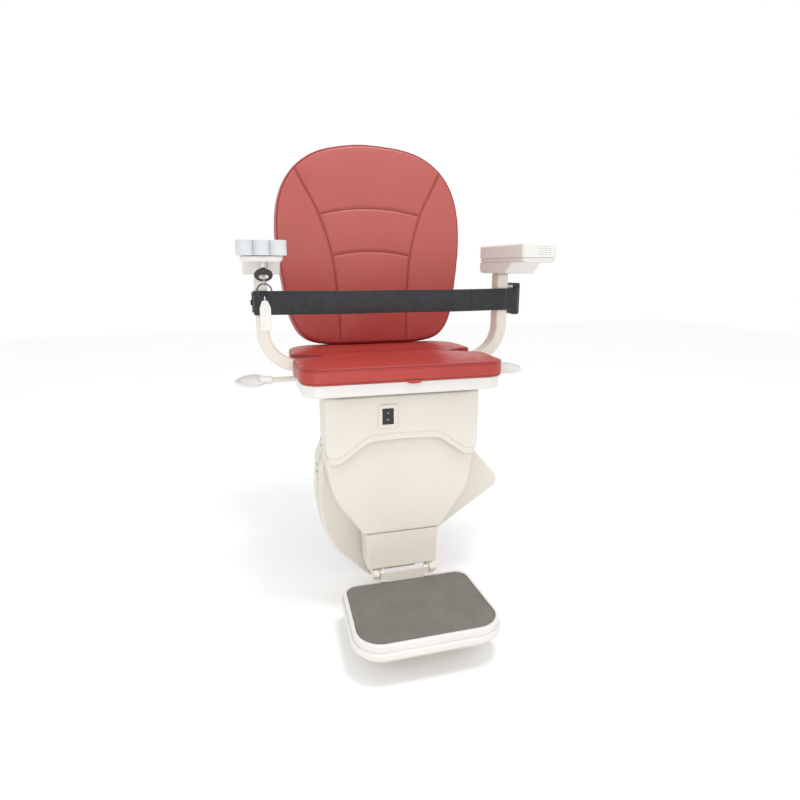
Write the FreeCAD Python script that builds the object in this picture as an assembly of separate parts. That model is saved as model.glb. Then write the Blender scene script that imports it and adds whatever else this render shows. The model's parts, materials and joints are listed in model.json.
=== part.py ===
import FreeCAD, Part
import math
import os

# A seated stair chair: a carriage that climbs a wall-side rail carries a swivelling padded seat with
# folding arm pads, a lap belt and a folding footrest. Millimetres. +Y points at the rail and wall behind
# the seat, +Z is up, and left (-X) and right (+X) are as seen from in front. The origin is the middle of
# the four-bolt pattern on the rail-side face of the carriage plate.

V = FreeCAD.Vector
X_AXIS = V(1, 0, 0)
Y_AXIS = V(0, 1, 0)
Z_AXIS = V(0, 0, 1)

# ---- driving dimensions ----

# carriage plate and the drive housing, whose underside and right end follow the rail's slope
RAIL_SLOPE_DEG = 34.0
HOUSING_OUTLINE = [(172, 141, 12), (284, 14, 25), (-55, -210, 22), (-145, -120, 40), (-172, -65, 60),
                   (-181, 10, 60), (-176, 98, 14), (-158, 141, 10)]
HOUSING_FRONT_Y = -97.0
COVER_SPLIT_X = 155.0
COVER_SPLIT_Z = -75.0
PLATE_T = 8.0
PLATE_INSET = 6.0
COVER_T = 3.0
FLUTE_STARTS_Y = (-87.0, -71.0)
FLUTE_W = 8.0
FLUTE_DEPTH = 1.8
MOUNT_SPACING_X = 190.0
MOUNT_SPACING_Z = 80.0
MOUNT_HOLE_R = 5.25

# fits between pieces that turn or slide in each other, per side, with the room round and past a free pin
RUNNING_GAP = 0.05
FREE_GAP = 0.3
PIN_END_GAP = 0.5

# pinion and rollers that run on the rail
PINION_X = 45.0
PINION_Z = 20.0
PINION_R = 26.0
PINION_TEETH = 16
PINION_TOOTH = 5.0
PINION_SHAFT_R = 9.0
GEARBOX_HALF = 38.0
MOTOR_START = 51.0
ROLLER_R = 22.0
ROLLER_T = 24.0
ROLLER_AXLE_R = 6.0
ROLLER_FRONT_Y = 10.0
ROLLER_ALONG = 140.0
ROLLER_ACROSS = 44.0
ROLLER_MIDDLE_X = 17.5

# bought units inside the housing
MOTOR_R = 27.0
MOTOR_L = 70.0
BATTERY_W = 90.0
BATTERY_H = 101.0
BATTERY_CORNERS = [(-152, -38), (-98, -152)]

# the steel stub that joins the spine to the carriage plate
STUB_X0 = -58.0
STUB_X1 = 4.0
STUB_Z0 = 10.0
STUB_Z1 = 88.0
STUB_WALL = 8.0

# the spine, a channel open to the rear, with the bearing shelf on top
SPINE_HALF_W = 38.0
SPINE_FRONT_Y = -150.0
SPINE_BACK_Y = -110.0
SPINE_WALL = 6.0
SHELF_BOTTOM_Z = 250.0
SHELF_TOP_Z = 258.0
SHELF_HALF_W = 60.0

# tower covers
TOWER_HALF_W = 172.0
APRON_FRONT_Y = -195.0
APRON_BACK_Y = -99.0
APRON_TOP_Z = 277.0
APRON_CORNER_Z = 142.0
APRON_ARCH_Z = 188.0
APRON_LIP = 12.0
ARCH_FOOT_X = 150.0
ARCH_TOP_X = 62.0
SWITCH_X = -38.0
SWITCH_Z = 231.0
SWITCH_PIN_R = 1.5
SHIELD_FRONT_Y = -180.0
SHIELD_HALF_W = 169.0
SHIELD_BOTTOM_Z = -50.0
SHIELD_BOTTOM_HALF_W = 90.0
EDGE_R = 8.0

# leg and footrest
LEG_HALF_W = 86.0
LEG_BOTTOM_Z = -140.0
LEG_FRONT_Y = -178.0
FOOT_HINGE_Y = -192.0
FOOT_HINGE_Z = -145.0
FOOT_PIN_R = 4.0
FOOT_ARM_X = 60.0
FOOT_ARM_T = 12.0
FOOT_LUG_X = 46.0
FOOT_LUG_T = 12.0
TRAY_HALF_W = 160.0
TRAY_BACK_Y = -190.0
TRAY_FRONT_Y = -426.0
TRAY_TOP_Z = -159.0
TRAY_BOTTOM_Z = -187.0
MAT_T = 4.0
GUIDE_PIN_R = 3.0
GUIDE_PIN_PLACES = [(-110, -230), (110, -230), (-110, -380), (110, -380)]

# seat
SWIVEL_Y = -95.0
PAN_BOTTOM_Z = 283.0
CUSHION_BOTTOM_Z = 310.0
CUSHION_T = 38.0
SEAT_HALF_W = 226.0
SEAT_FRONT_Y = -228.0
SEAT_BACK_Y = 150.0
NOTCH_Y = -40.0
NOTCH_MOUTH = 60.0
NOTCH_DEPTH = 70.0

LATCH_R = 5.0
LATCH_OFFSET_Y = 38.0
BEARING_R = 52.0
BEARING_BORE_R = 14.0
BEARING_H = 11.0
SPINDLE_R = 12.4
SWIVEL_DISC_R = 56.0
SWIVEL_DISC_T = 6.0
SWIVEL_BOSS_R = 60.0

# backrest: the right half of its outline, then its depth
BACK_OUTLINE = [(0, 842), (75, 836), (135, 820), (178, 793), (209, 757), (228, 713), (238, 649), (234, 557),
                (224, 485), (207, 411), (182, 375), (138, 358), (65, 354), (0, 354)]
BACK_BOTTOM_Z = 354.0
BACK_TOP_Z = 842.0
BACK_HALF_W = 238.0
BACK_FRONT_Y = 90.0
BACK_CUSHION_T = 50.0
BACK_SHELL_T = 14.0
BACK_TILT_DEG = 5.0

# arms
ARM_X = 284.5
ARM_W = 27.0
ARM_DEPTH = 40.0
ARM_BEND_R = 70.0
ARM_FOOT_T = 24.0
ARM_PIVOT_Y = -27.0
ARM_PIVOT_Z = 540.0
ARM_PIN_R = 3.5
PAD_HALF_W = 40.0
PAD_BOTTOM_Z = 552.0
PAD_H = 40.0
PAD_FRONT_Y = -232.0
PAD_BACK_Y = 4.0
TOGGLE_T = 14.0
TOGGLE_HALF_W = 46.0
TOGGLE_PIN_R = 2.5
TOGGLE_PIN_BOTTOM_Z = PAD_BOTTOM_Z + 3.0
TOGGLE_PIN_L = 14.0
HINGE_HOUSING_H = 24.0
HOUSING_TOE_Y = -140.0
KEY_X = -282.0
KEY_Y = -196.0
KEY_BARREL_R = 9.0
KEY_HEAD_Z = PAD_BOTTOM_Z - 24.0
KEY_HEAD_HALF_W = 17.5
KEY_HEAD_HALF_H = 12.5
KEY_RIM = 4.6
FOB_HINGE_Z = KEY_HEAD_Z - KEY_HEAD_HALF_H + KEY_RIM / 2
LINK_R = 9.0
RING_R = 14.0
RING_TOP_Z = FOB_HINGE_Z - LINK_R + 2.5

# belt
WEBBING_W = 52.0
WEBBING_T = 2.0
BELT_Z = 467.0
BELT_Y = -63.5
BUCKLE_X = 323.0

# swivel lever
LEVER_Z = 293.0
LEVER_Y = -40.0
LEVER_SHAFT_R = 6.0


# ---- helpers ----

def box(x0, x1, y0, y1, z0, z1):
    return Part.makeBox(x1 - x0, y1 - y0, z1 - z0, V(x0, y0, z0))


def rod(x, y, z, radius, length, axis):
    """A cylinder that starts at (x, y, z) and runs along axis."""
    return Part.makeCylinder(radius, length, V(x, y, z), axis)


def tube(x, y, z, outer_r, inner_r, length, axis):
    return rod(x, y, z, outer_r, length, axis).cut(rod(x, y, z, inner_r, length, axis))


def union(shapes):
    result = shapes[0]
    for shape in shapes[1:]:
        result = result.fuse(shape)
    return result.removeSplitter()


def in_xz(y):
    """Place outline points (u, v) at x = u, z = v in the plane of one y."""
    return lambda u, v: V(u, y, v)


def in_xy(z):
    return lambda u, v: V(u, v, z)


def in_yz(x):
    return lambda u, v: V(x, u, v)


def rounded_face(points, place):
    """A flat face from corners (u, v, radius), each corner rounded by its own radius."""
    corners = [(place(u, v), radius) for u, v, radius in points]
    count = len(corners)
    arcs = []
    for i, (corner, radius) in enumerate(corners):
        before = corners[i - 1][0]
        after = corners[(i + 1) % count][0]
        back = (before - corner).normalize()
        ahead = (after - corner).normalize()
        if radius == 0:
            arcs.append((corner, None, corner))
            continue
        half = back.getAngle(ahead) / 2
        reach = radius / math.tan(half)
        middle = (back + ahead).normalize()
        centre = corner + middle * (radius / math.sin(half))
        arcs.append((corner + back * reach, centre - middle * radius, corner + ahead * reach))
    edges = []
    for i, (start, through, end) in enumerate(arcs):
        if through is not None:
            edges.append(Part.Arc(start, through, end).toShape())
        following = arcs[(i + 1) % count][0]
        if end.distanceToPoint(following) > 1e-6:
            edges.append(Part.LineSegment(end, following).toShape())
    return Part.Face(Part.Wire(edges))


def smooth_face(points, place):
    """A flat face inside one closed smooth curve through the points."""
    curve = Part.BSplineCurve()
    curve.interpolate([place(u, v) for u, v in points], PeriodicFlag=True)
    return Part.Face(Part.Wire([curve.toShape()]))


def mirror_x(shape):
    return shape.mirror(V(0, 0, 0), X_AXIS)


def soften(shape, radius, wanted):
    """Round the edges for which wanted(edge) is true."""
    edges = [edge for edge in shape.Edges if wanted(edge)]
    return shape.makeFillet(radius, edges)


def edge_at_y(y):
    return lambda edge: abs(edge.BoundBox.YMin - y) < 0.01 and abs(edge.BoundBox.YMax - y) < 0.01


def edge_at_z(z):
    return lambda edge: abs(edge.BoundBox.ZMin - z) < 0.01 and abs(edge.BoundBox.ZMax - z) < 0.01


def save(name, shape):
    shape.exportStep("parts/" + name + ".step")


# ---- carriage ----

def slanted(along, across, x0=0.0, z0=0.0):
    """The x and z of a point that lies along and across the rail direction from (x0, z0)."""
    slope = math.radians(RAIL_SLOPE_DEG)
    x = x0 + along * math.cos(slope) - across * math.sin(slope)
    z = z0 + along * math.sin(slope) + across * math.cos(slope)
    return x, z


def inset_outline(points, inset):
    """The polygon's corners moved inwards by inset, each radius shrunk to stay concentric."""
    count = len(points)
    moved = []
    for i, (u, v, radius) in enumerate(points):
        corner = V(u, v, 0)
        back = (V(points[i - 1][0], points[i - 1][1], 0) - corner).normalize()
        ahead = (V(points[(i + 1) % count][0], points[(i + 1) % count][1], 0) - corner).normalize()
        middle = (back + ahead).normalize()
        inner = corner + middle * (inset / math.sin(back.getAngle(ahead) / 2))
        moved.append((inner.x, inner.y, radius - inset))
    return moved


def housing_solid(inset, y0, y1):
    return rounded_face(inset_outline(HOUSING_OUTLINE, inset), in_xz(y0)).extrude(V(0, y1 - y0, 0))


def cover_side(side):
    """All the room on one side of the seam between the two side covers."""
    reach = 600.0
    split_gap = 0.2
    near = split_gap * side
    corners = [(near, -reach), (reach * side, -reach), (reach * side, reach), (near, reach)]
    points = [slanted(along, across, COVER_SPLIT_X, COVER_SPLIT_Z) + (0,) for along, across in corners]
    return rounded_face(points, in_xz(HOUSING_FRONT_Y - 10)).extrude(V(0, 150, 0))


def carriage_plate():
    plate = housing_solid(PLATE_INSET, -PLATE_T, 0)
    for x in (-MOUNT_SPACING_X / 2, MOUNT_SPACING_X / 2):
        for z in (-MOUNT_SPACING_Z / 2, MOUNT_SPACING_Z / 2):
            plate = plate.cut(rod(x, -PLATE_T - 1, z, MOUNT_HOLE_R, PLATE_T + 2, Y_AXIS))
    return plate.cut(rod(PINION_X, -PLATE_T - 1, PINION_Z, PINION_SHAFT_R + 3, PLATE_T + 2, Y_AXIS))


def side_covers():
    shell = housing_solid(0, HOUSING_FRONT_Y, -2)
    shell = soften(shell, EDGE_R, edge_at_y(HOUSING_FRONT_Y))
    shell = shell.cut(housing_solid(COVER_T, HOUSING_FRONT_Y + COVER_T, 0))
    for flute_y in FLUTE_STARTS_Y:
        flute = housing_solid(-1, flute_y, flute_y + FLUTE_W)
        shell = shell.cut(flute.cut(housing_solid(FLUTE_DEPTH, flute_y, flute_y + FLUTE_W)))
    finger_notch = box(-190, -165, FLUTE_STARTS_Y[1], FLUTE_STARTS_Y[1] + FLUTE_W, 50, 64)
    shell = shell.cut(finger_notch)
    window_gap = 6
    frame_window = box(STUB_X0 - window_gap, STUB_X1 + window_gap, HOUSING_FRONT_Y - 5, HOUSING_FRONT_Y + 10,
                       STUB_Z0 - window_gap, STUB_Z1 + window_gap)
    shell = shell.cut(frame_window)
    return shell.common(cover_side(-1)), shell.common(cover_side(1))


def roller_places():
    return [slanted(along, across, ROLLER_MIDDLE_X)
            for across in (-ROLLER_ACROSS, ROLLER_ACROSS) for along in (-ROLLER_ALONG, ROLLER_ALONG)]


def drive_pinion():
    x, z = PINION_X, PINION_Z
    gear = rod(x, 8, z, PINION_R - PINION_TOOTH, 26, Y_AXIS)
    shapes = [gear, rod(x, -30, z, PINION_SHAFT_R, 60, Y_AXIS)]
    for i in range(PINION_TEETH):
        tooth = rounded_face(
            [(-3.2, PINION_R - PINION_TOOTH - 1, 0), (3.2, PINION_R - PINION_TOOTH - 1, 0),
             (1.8, PINION_R, 0), (-1.8, PINION_R, 0)], in_xz(8)).extrude(V(0, 26, 0))
        tooth.rotate(V(0, 0, 0), Y_AXIS, i * 360 / PINION_TEETH)
        tooth.translate(V(x, 0, z))
        shapes.append(tooth)
    return union(shapes)


def guide_roller(place):
    x, z = place
    body = tube(x, ROLLER_FRONT_Y, z, ROLLER_R, ROLLER_AXLE_R + RUNNING_GAP, ROLLER_T, Y_AXIS)
    groove = tube(x, ROLLER_FRONT_Y + 7, z, ROLLER_R + 1, ROLLER_R - 4, ROLLER_T - 14, Y_AXIS)
    return body.cut(groove)


def roller_axles():
    axles = []
    for x, z in roller_places():
        pin = rod(x, 0, z, ROLLER_AXLE_R, ROLLER_FRONT_Y + ROLLER_T + 6, Y_AXIS)
        shoulder = rod(x, 0, z, 10, ROLLER_FRONT_Y - 0.5, Y_AXIS)
        head = rod(x, ROLLER_FRONT_Y + ROLLER_T + 0.5, z, 10, 4, Y_AXIS)
        axles.append(union([pin, shoulder, head]))
    return Part.makeCompound(axles)


def gearbox():
    half = GEARBOX_HALF
    block = box(PINION_X - half, PINION_X + half, -62, -PLATE_T - 0.5, PINION_Z - half, PINION_Z + half)
    block = soften(block, 6, lambda edge: edge.BoundBox.YLength > 50)
    return block.cut(rod(PINION_X, -31, PINION_Z, PINION_SHAFT_R + RUNNING_GAP, 40, Y_AXIS))


def drive_motor():
    """The motor lies along the rail direction, with its front on the gearbox."""
    slope = math.radians(RAIL_SLOPE_DEG)
    up_rail = V(math.cos(slope), 0, math.sin(slope))
    start = V(PINION_X, -38, PINION_Z) + up_rail * MOTOR_START
    can = Part.makeCylinder(MOTOR_R, MOTOR_L, start, up_rail)
    cap = Part.makeCylinder(MOTOR_R - 7, 8, start + up_rail * MOTOR_L, up_rail)
    return union([can, cap])


def batteries():
    cells = []
    for x, z in BATTERY_CORNERS:
        block = box(x, x + BATTERY_W, -84, -14, z, z + BATTERY_H)
        block = soften(block, 3, lambda edge: edge.BoundBox.YLength > 60)
        posts = [rod(x + dx, -50, z + BATTERY_H - 1, 4, 7, Z_AXIS) for dx in (20, BATTERY_W - 20)]
        cells.append(union([block] + posts))
    return Part.makeCompound(cells)


def charge_contacts():
    pads = []
    for along in (0, 24):
        x, z = slanted(along, 0, 20, -120)
        pads.append(rod(x, 0, z, 7, 5, Y_AXIS))
    return Part.makeCompound(pads)


def main_frame():
    """The welded steel spine: leg channel, stub to the carriage plate and the bearing shelf."""
    foot_z = LEG_BOTTOM_Z - 18
    spine = box(-SPINE_HALF_W, SPINE_HALF_W, SPINE_FRONT_Y, SPINE_BACK_Y, foot_z, SHELF_BOTTOM_Z)
    inner_half = SPINE_HALF_W - SPINE_WALL
    spine = spine.cut(box(-inner_half, inner_half, SPINE_FRONT_Y + SPINE_WALL, SPINE_BACK_Y + 10,
                          foot_z - 1, SHELF_BOTTOM_Z + 1))
    weld_y = SPINE_BACK_Y - 2
    stub = box(STUB_X0, STUB_X1, weld_y, -PLATE_T, STUB_Z0, STUB_Z1)
    stub = stub.cut(box(STUB_X0 + STUB_WALL, STUB_X1 - STUB_WALL, weld_y - 8, 0,
                        STUB_Z0 + STUB_WALL, STUB_Z1 - STUB_WALL))
    back_plate = box(STUB_X0, SPINE_HALF_W, weld_y, weld_y + 4, STUB_Z0, STUB_Z1)
    shelf = box(-SHELF_HALF_W, SHELF_HALF_W, SPINE_FRONT_Y - 5, SWIVEL_Y + SHELF_HALF_W,
                SHELF_BOTTOM_Z, SHELF_TOP_Z)
    hinge_arms = []
    for x in (-FOOT_ARM_X - FOOT_ARM_T, FOOT_ARM_X):
        arm = box(x, x + FOOT_ARM_T, FOOT_HINGE_Y, weld_y, foot_z, LEG_BOTTOM_Z - 1)
        knuckle = rod(x, FOOT_HINGE_Y, FOOT_HINGE_Z, 9, FOOT_ARM_T, X_AXIS)
        bore = rod(x - 1, FOOT_HINGE_Y, FOOT_HINGE_Z, FOOT_PIN_R + RUNNING_GAP, FOOT_ARM_T + 2, X_AXIS)
        hinge_arms.append(arm.fuse(knuckle).cut(bore))
    cross_half = FOOT_ARM_X + FOOT_ARM_T
    cross = box(-cross_half, cross_half, weld_y - 12, weld_y, foot_z, LEG_BOTTOM_Z - 1)
    frame = union([spine, stub, back_plate, shelf, cross] + hinge_arms)
    return frame.cut(rod(0, SWIVEL_Y, SHELF_BOTTOM_Z - 10, SPINDLE_R + 0.1, 30, Z_AXIS))


def ogee_outline(drop, inset):
    """Half of the apron's front outline: top corner, side, then the ogee up to the arch."""
    half = TOWER_HALF_W - inset
    foot_z = APRON_CORNER_Z - drop
    arch_z = APRON_ARCH_Z - drop
    return [(half, APRON_TOP_Z - inset, 2.0), (half, foot_z, 12.0), (ARCH_FOOT_X - 8, foot_z, 26.0),
            (ARCH_TOP_X + 18, arch_z - 1, 48.0)]


def apron_solid(drop, inset, y0, y1):
    half = ogee_outline(drop, inset)
    points = half + [(0, APRON_ARCH_Z - drop + 2, 300.0)] + [(-u, v, r) for u, v, r in reversed(half)]
    return rounded_face(points, in_xz(y0)).extrude(V(0, y1 - y0, 0))


def apron_cover():
    outer = apron_solid(0, 0, APRON_FRONT_Y, APRON_BACK_Y)
    outer = soften(outer, 5, edge_at_y(APRON_FRONT_Y))
    outer = outer.cut(box(-TOWER_HALF_W + COVER_T, TOWER_HALF_W - COVER_T, APRON_FRONT_Y + COVER_T,
                          APRON_BACK_Y + 1, APRON_CORNER_Z - 20, APRON_TOP_Z - COVER_T))
    lip = apron_solid(APRON_LIP, 5, APRON_FRONT_Y + 2, APRON_FRONT_Y + 6)
    outer = outer.fuse(lip.cut(apron_solid(-APRON_LIP, 0, APRON_FRONT_Y, APRON_FRONT_Y + 9)))
    top_opening = box(-70, 70, APRON_FRONT_Y + 30, APRON_BACK_Y + 1, APRON_TOP_Z - 5, APRON_TOP_Z + 1)
    window = box(SWITCH_X - 14.5, SWITCH_X + 14.5, APRON_FRONT_Y - 1, APRON_FRONT_Y + 5,
                 SWITCH_Z - 19.5, SWITCH_Z + 19.5)
    return outer.cut(top_opening).cut(window).removeSplitter()


def switch_bezel():
    plate = rounded_face([(SWITCH_X - 21, SWITCH_Z - 26, 7), (SWITCH_X + 21, SWITCH_Z - 26, 7),
                          (SWITCH_X + 21, SWITCH_Z + 26, 7), (SWITCH_X - 21, SWITCH_Z + 26, 7)],
                         in_xz(APRON_FRONT_Y - 3)).extrude(V(0, 3, 0))
    plate = soften(plate, 1, edge_at_y(APRON_FRONT_Y - 3))
    well = box(SWITCH_X - 14.2, SWITCH_X + 14.2, APRON_FRONT_Y, APRON_FRONT_Y + 16,
               SWITCH_Z - 19.2, SWITCH_Z + 19.2)
    opening = box(SWITCH_X - 12.7, SWITCH_X + 12.7, APRON_FRONT_Y - 4, APRON_FRONT_Y + 14,
                  SWITCH_Z - 17.7, SWITCH_Z + 17.7)
    pin_bore = rod(SWITCH_X - 15, APRON_FRONT_Y + 4, SWITCH_Z, SWITCH_PIN_R + RUNNING_GAP, 30, X_AXIS)
    return plate.fuse(well).cut(opening).cut(pin_bore).removeSplitter()


def power_rocker():
    """A see-saw rocker on a middle pivot; its face is a shallow V."""
    y = APRON_FRONT_Y
    profile = rounded_face([(y + 10, SWITCH_Z - 15, 0), (y - 4.5, SWITCH_Z - 16.5, 0),
                            (y - 1.0, SWITCH_Z, 0), (y - 4.5, SWITCH_Z + 16.5, 0),
                            (y + 10, SWITCH_Z + 15, 0)], in_yz(SWITCH_X - 12))
    pin = rod(SWITCH_X - 13.9, y + 4, SWITCH_Z, SWITCH_PIN_R, 27.8, X_AXIS)
    return profile.extrude(V(24, 0, 0)).fuse(pin)


def shield_face(inset, y):
    half = SHIELD_HALF_W - inset
    foot = SHIELD_BOTTOM_HALF_W - inset
    bottom = SHIELD_BOTTOM_Z + inset
    points = [(half, 204, 0), (half, 118, 80), (half - 14, 42, 120), (foot, bottom, 6)]
    full = points + [(-u, v, r) for u, v, r in reversed(points)]
    return rounded_face(full, in_xz(y))


def front_shield():
    shield = shield_face(0, SHIELD_FRONT_Y).extrude(V(0, APRON_BACK_Y - SHIELD_FRONT_Y, 0))
    shield = soften(shield, EDGE_R - 2, edge_at_y(SHIELD_FRONT_Y))
    room = shield_face(COVER_T, SHIELD_FRONT_Y + COVER_T).extrude(V(0, 100, 0))
    shield = shield.cut(room)
    side_steps = [box(sx, sx + 12, -210, APRON_BACK_Y + 1, APRON_CORNER_Z - 0.5, 300)
                  for sx in (-TOWER_HALF_W - 4, TOWER_HALF_W - 8)]
    for step in side_steps:
        shield = shield.cut(step)
    leg_slot = box(-LEG_HALF_W + 4, LEG_HALF_W - 4, SHIELD_FRONT_Y + COVER_T + 1, APRON_BACK_Y + 1,
                   SHIELD_BOTTOM_Z - 5, SHIELD_BOTTOM_Z + 10)
    return shield.cut(leg_slot)


def leg_panel():
    face = rounded_face([(-LEG_HALF_W + 4, LEG_BOTTOM_Z, 4), (LEG_HALF_W - 4, LEG_BOTTOM_Z, 4),
                         (LEG_HALF_W, SHIELD_BOTTOM_Z - 0.5, 2), (-LEG_HALF_W, SHIELD_BOTTOM_Z - 0.5, 2)],
                        in_xz(LEG_FRONT_Y))
    block = face.extrude(V(0, 62, 0))
    block = soften(block, 4, edge_at_y(LEG_FRONT_Y))
    room = box(-LEG_HALF_W + 8, LEG_HALF_W - 8, LEG_FRONT_Y + COVER_T, LEG_FRONT_Y + 70,
               LEG_BOTTOM_Z - 5, SHIELD_BOTTOM_Z + 1)
    return block.cut(room)


def tower_rear_cover():
    bottom = HOUSING_OUTLINE[0][1] + 0.5
    outer = box(-160, 160, APRON_BACK_Y + 2, -28, bottom, APRON_TOP_Z)
    outer = soften(outer, 20, lambda edge: edge.BoundBox.ZLength > 100 and edge.BoundBox.YMax > -40)
    room = box(-157, 157, APRON_BACK_Y, -31, bottom - 5, APRON_TOP_Z - COVER_T)
    return outer.cut(room).cut(box(-64, 64, APRON_BACK_Y, -32, APRON_TOP_Z - 5, APRON_TOP_Z + 1))


def control_board():
    board = box(60, 150, -168, -166, 110, 200)
    chips = [box(x, x + w, -172, -168, z, z + h)
             for x, w, z, h in ((70, 22, 120, 22), (102, 14, 126, 30), (124, 18, 150, 12), (72, 30, 165, 20))]
    return union([board] + chips)


def cover_screws():
    """Pan heads with a round socket: two on each side of the apron and two on the left cover."""
    screws = []
    for x, z in ((-TOWER_HALF_W, 150), (-TOWER_HALF_W, 166), (TOWER_HALF_W, 150), (TOWER_HALF_W, 166)):
        screws.append((V(x, -108, z), V(math.copysign(1, x), 0, 0)))
    for x, z in ((-178.1, 68), (-177.1, 86)):
        screws.append((V(x, -54, z), V(-1, 0, 0)))
    heads = []
    for place, out in screws:
        head = Part.makeCylinder(3.5, 2, place, out)
        heads.append(head.cut(Part.makeCylinder(1.5, 1.2, place + out * 0.9, out)))
    return Part.makeCompound(heads)


# ---- footrest ----

def tray_face(inset, z):
    half = TRAY_HALF_W - inset
    back = TRAY_BACK_Y - inset
    front = TRAY_FRONT_Y + inset
    taper = 8
    points = [(half - taper, back, 34 - inset / 2), (half, front, 62 - inset),
              (-half, front, 62 - inset), (-half + taper, back, 34 - inset / 2)]
    return rounded_face(points, in_xy(z))


def foot_tray():
    flange_z = TRAY_BOTTOM_Z + 12
    flange = tray_face(0, TRAY_BOTTOM_Z).extrude(V(0, 0, flange_z - TRAY_BOTTOM_Z))
    flange = soften(flange, 3, edge_at_z(flange_z))
    rim = tray_face(5, flange_z - 1).extrude(V(0, 0, TRAY_TOP_Z - flange_z + 1))
    rim = soften(rim, 3, edge_at_z(TRAY_TOP_Z))
    tray = flange.fuse(rim)
    recess = tray_face(11, TRAY_TOP_Z - MAT_T - 2).extrude(V(0, 0, MAT_T + 4))
    hollow = tray_face(9, TRAY_BOTTOM_Z - 1).extrude(V(0, 0, 15))
    tray = tray.cut(recess).cut(hollow)
    for x, y in GUIDE_PIN_PLACES:
        tray = tray.cut(rod(x, y, TRAY_BOTTOM_Z + 10, GUIDE_PIN_R + RUNNING_GAP, 10, Z_AXIS))
    return tray.removeSplitter()


def anti_slip_mat():
    mat = tray_face(11.3, TRAY_TOP_Z - MAT_T - 2).extrude(V(0, 0, MAT_T))
    return soften(mat, 1, edge_at_z(TRAY_TOP_Z - 2))


def tray_hinge():
    """Two lugs on the tray's back edge that turn on the leg's pin, joined by a strip in front of the pin."""
    flange_z = TRAY_BOTTOM_Z + 12
    width = FOOT_LUG_T
    outer = FOOT_LUG_X + width
    strip_y = FOOT_HINGE_Y - 8.2
    parts = [box(-outer, outer, strip_y, strip_y + 2.4, TRAY_TOP_Z + 0.2, FOOT_HINGE_Z + 6.5)]
    for x in (-outer, FOOT_LUG_X):
        parts.append(box(x, x + width, TRAY_BACK_Y - 14, TRAY_BACK_Y - 2, TRAY_TOP_Z + 0.2, TRAY_TOP_Z + 3))
        parts.append(box(x, x + width, TRAY_BACK_Y - 4.8, FOOT_HINGE_Y + 7, flange_z + 0.2, FOOT_HINGE_Z))
        parts.append(rod(x, FOOT_HINGE_Y, FOOT_HINGE_Z, 8, width, X_AXIS))
    bore = rod(-outer - 1, FOOT_HINGE_Y, FOOT_HINGE_Z, FOOT_PIN_R + RUNNING_GAP, 2 * outer + 2, X_AXIS)
    return union(parts).cut(bore)


def foot_hinge_pin():
    half = FOOT_ARM_X + FOOT_ARM_T + 0.5
    pin = rod(-half, FOOT_HINGE_Y, FOOT_HINGE_Z, FOOT_PIN_R, 2 * half, X_AXIS)
    heads = [rod(x, FOOT_HINGE_Y, FOOT_HINGE_Z, 7, 3, X_AXIS) for x in (-half - 2.5, half - 0.5)]
    return union([pin] + heads)


def safety_pan():
    """The sprung plate under the tray that stops the lift when it meets something on a stair."""
    top = TRAY_BOTTOM_Z + 8
    plate = tray_face(14, TRAY_BOTTOM_Z - 18).extrude(V(0, 0, top - TRAY_BOTTOM_Z + 18))
    plate = soften(plate, 6, edge_at_z(TRAY_BOTTOM_Z - 18))
    floor_z = TRAY_BOTTOM_Z - 15
    room = tray_face(17, floor_z).extrude(V(0, 0, 40))
    guide_pins = [rod(x, y, floor_z - 1, GUIDE_PIN_R, 32, Z_AXIS) for x, y in GUIDE_PIN_PLACES]
    return union([plate.cut(room)] + guide_pins)


# ---- seat ----

def seat_outline(inset):
    """Seat plan, right half: front middle round to the back, with the side notch for the arm foot."""
    half = SEAT_HALF_W - inset
    front = SEAT_FRONT_Y + inset
    back = SEAT_BACK_Y - inset
    mouth = NOTCH_MOUTH / 2 + inset
    return [(half - 3, front, 44 - inset), (half, NOTCH_Y - mouth, 16), (half - 30, NOTCH_Y - 27, 8),
            (half - NOTCH_DEPTH, NOTCH_Y - 4, 3), (half - NOTCH_DEPTH, NOTCH_Y + 6, 3),
            (half - 30, NOTCH_Y + 27, 8), (half, NOTCH_Y + mouth, 16), (half - 8, back, 78 - inset)]


def seat_solid(inset, z0, z1):
    half = seat_outline(inset)
    points = half + [(-u, v, r) for u, v, r in reversed(half)]
    return rounded_face(points, in_xy(z0)).extrude(V(0, 0, z1 - z0))


def seat_cushion():
    top = CUSHION_BOTTOM_Z + CUSHION_T
    cushion = seat_solid(0, CUSHION_BOTTOM_Z, top)
    return soften(cushion, 5, edge_at_z(top))


def seat_pan():
    top = CUSHION_BOTTOM_Z - 0.5
    pan = seat_solid(6, PAN_BOTTOM_Z, top)
    pan = soften(pan, 5, edge_at_z(PAN_BOTTOM_Z))
    room = box(-150, 150, SEAT_FRONT_Y + 12, SEAT_BACK_Y - 40, PAN_BOTTOM_Z - 1, top - 3)
    pan = pan.cut(room)
    return pan.cut(box(-SEAT_HALF_W, SEAT_HALF_W, NOTCH_Y - 22, NOTCH_Y + 22, PAN_BOTTOM_Z - 1, top - 3))


def seat_frame():
    """Welded tubes under the seat: two side members, two cross members and the arm sockets."""
    z0 = PAN_BOTTOM_Z + 1
    z1 = z0 + 20
    sides = [box(x, x + 20, -190, 100, z0, z1) for x in (-140, 120)]
    front = box(-140, 140, -150, -130, z0, z1)
    rear = box(-140, 140, 60, 80, z0, z1)
    bearing_rails = [box(x, x + 16, -150, 80, z0, z1) for x in (-66, 50)]
    frame = union(sides + [front, rear] + bearing_rails)
    return frame.cut(rod(-150, LEVER_Y, LEVER_Z, LEVER_SHAFT_R + 0.4, 300, X_AXIS))


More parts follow.
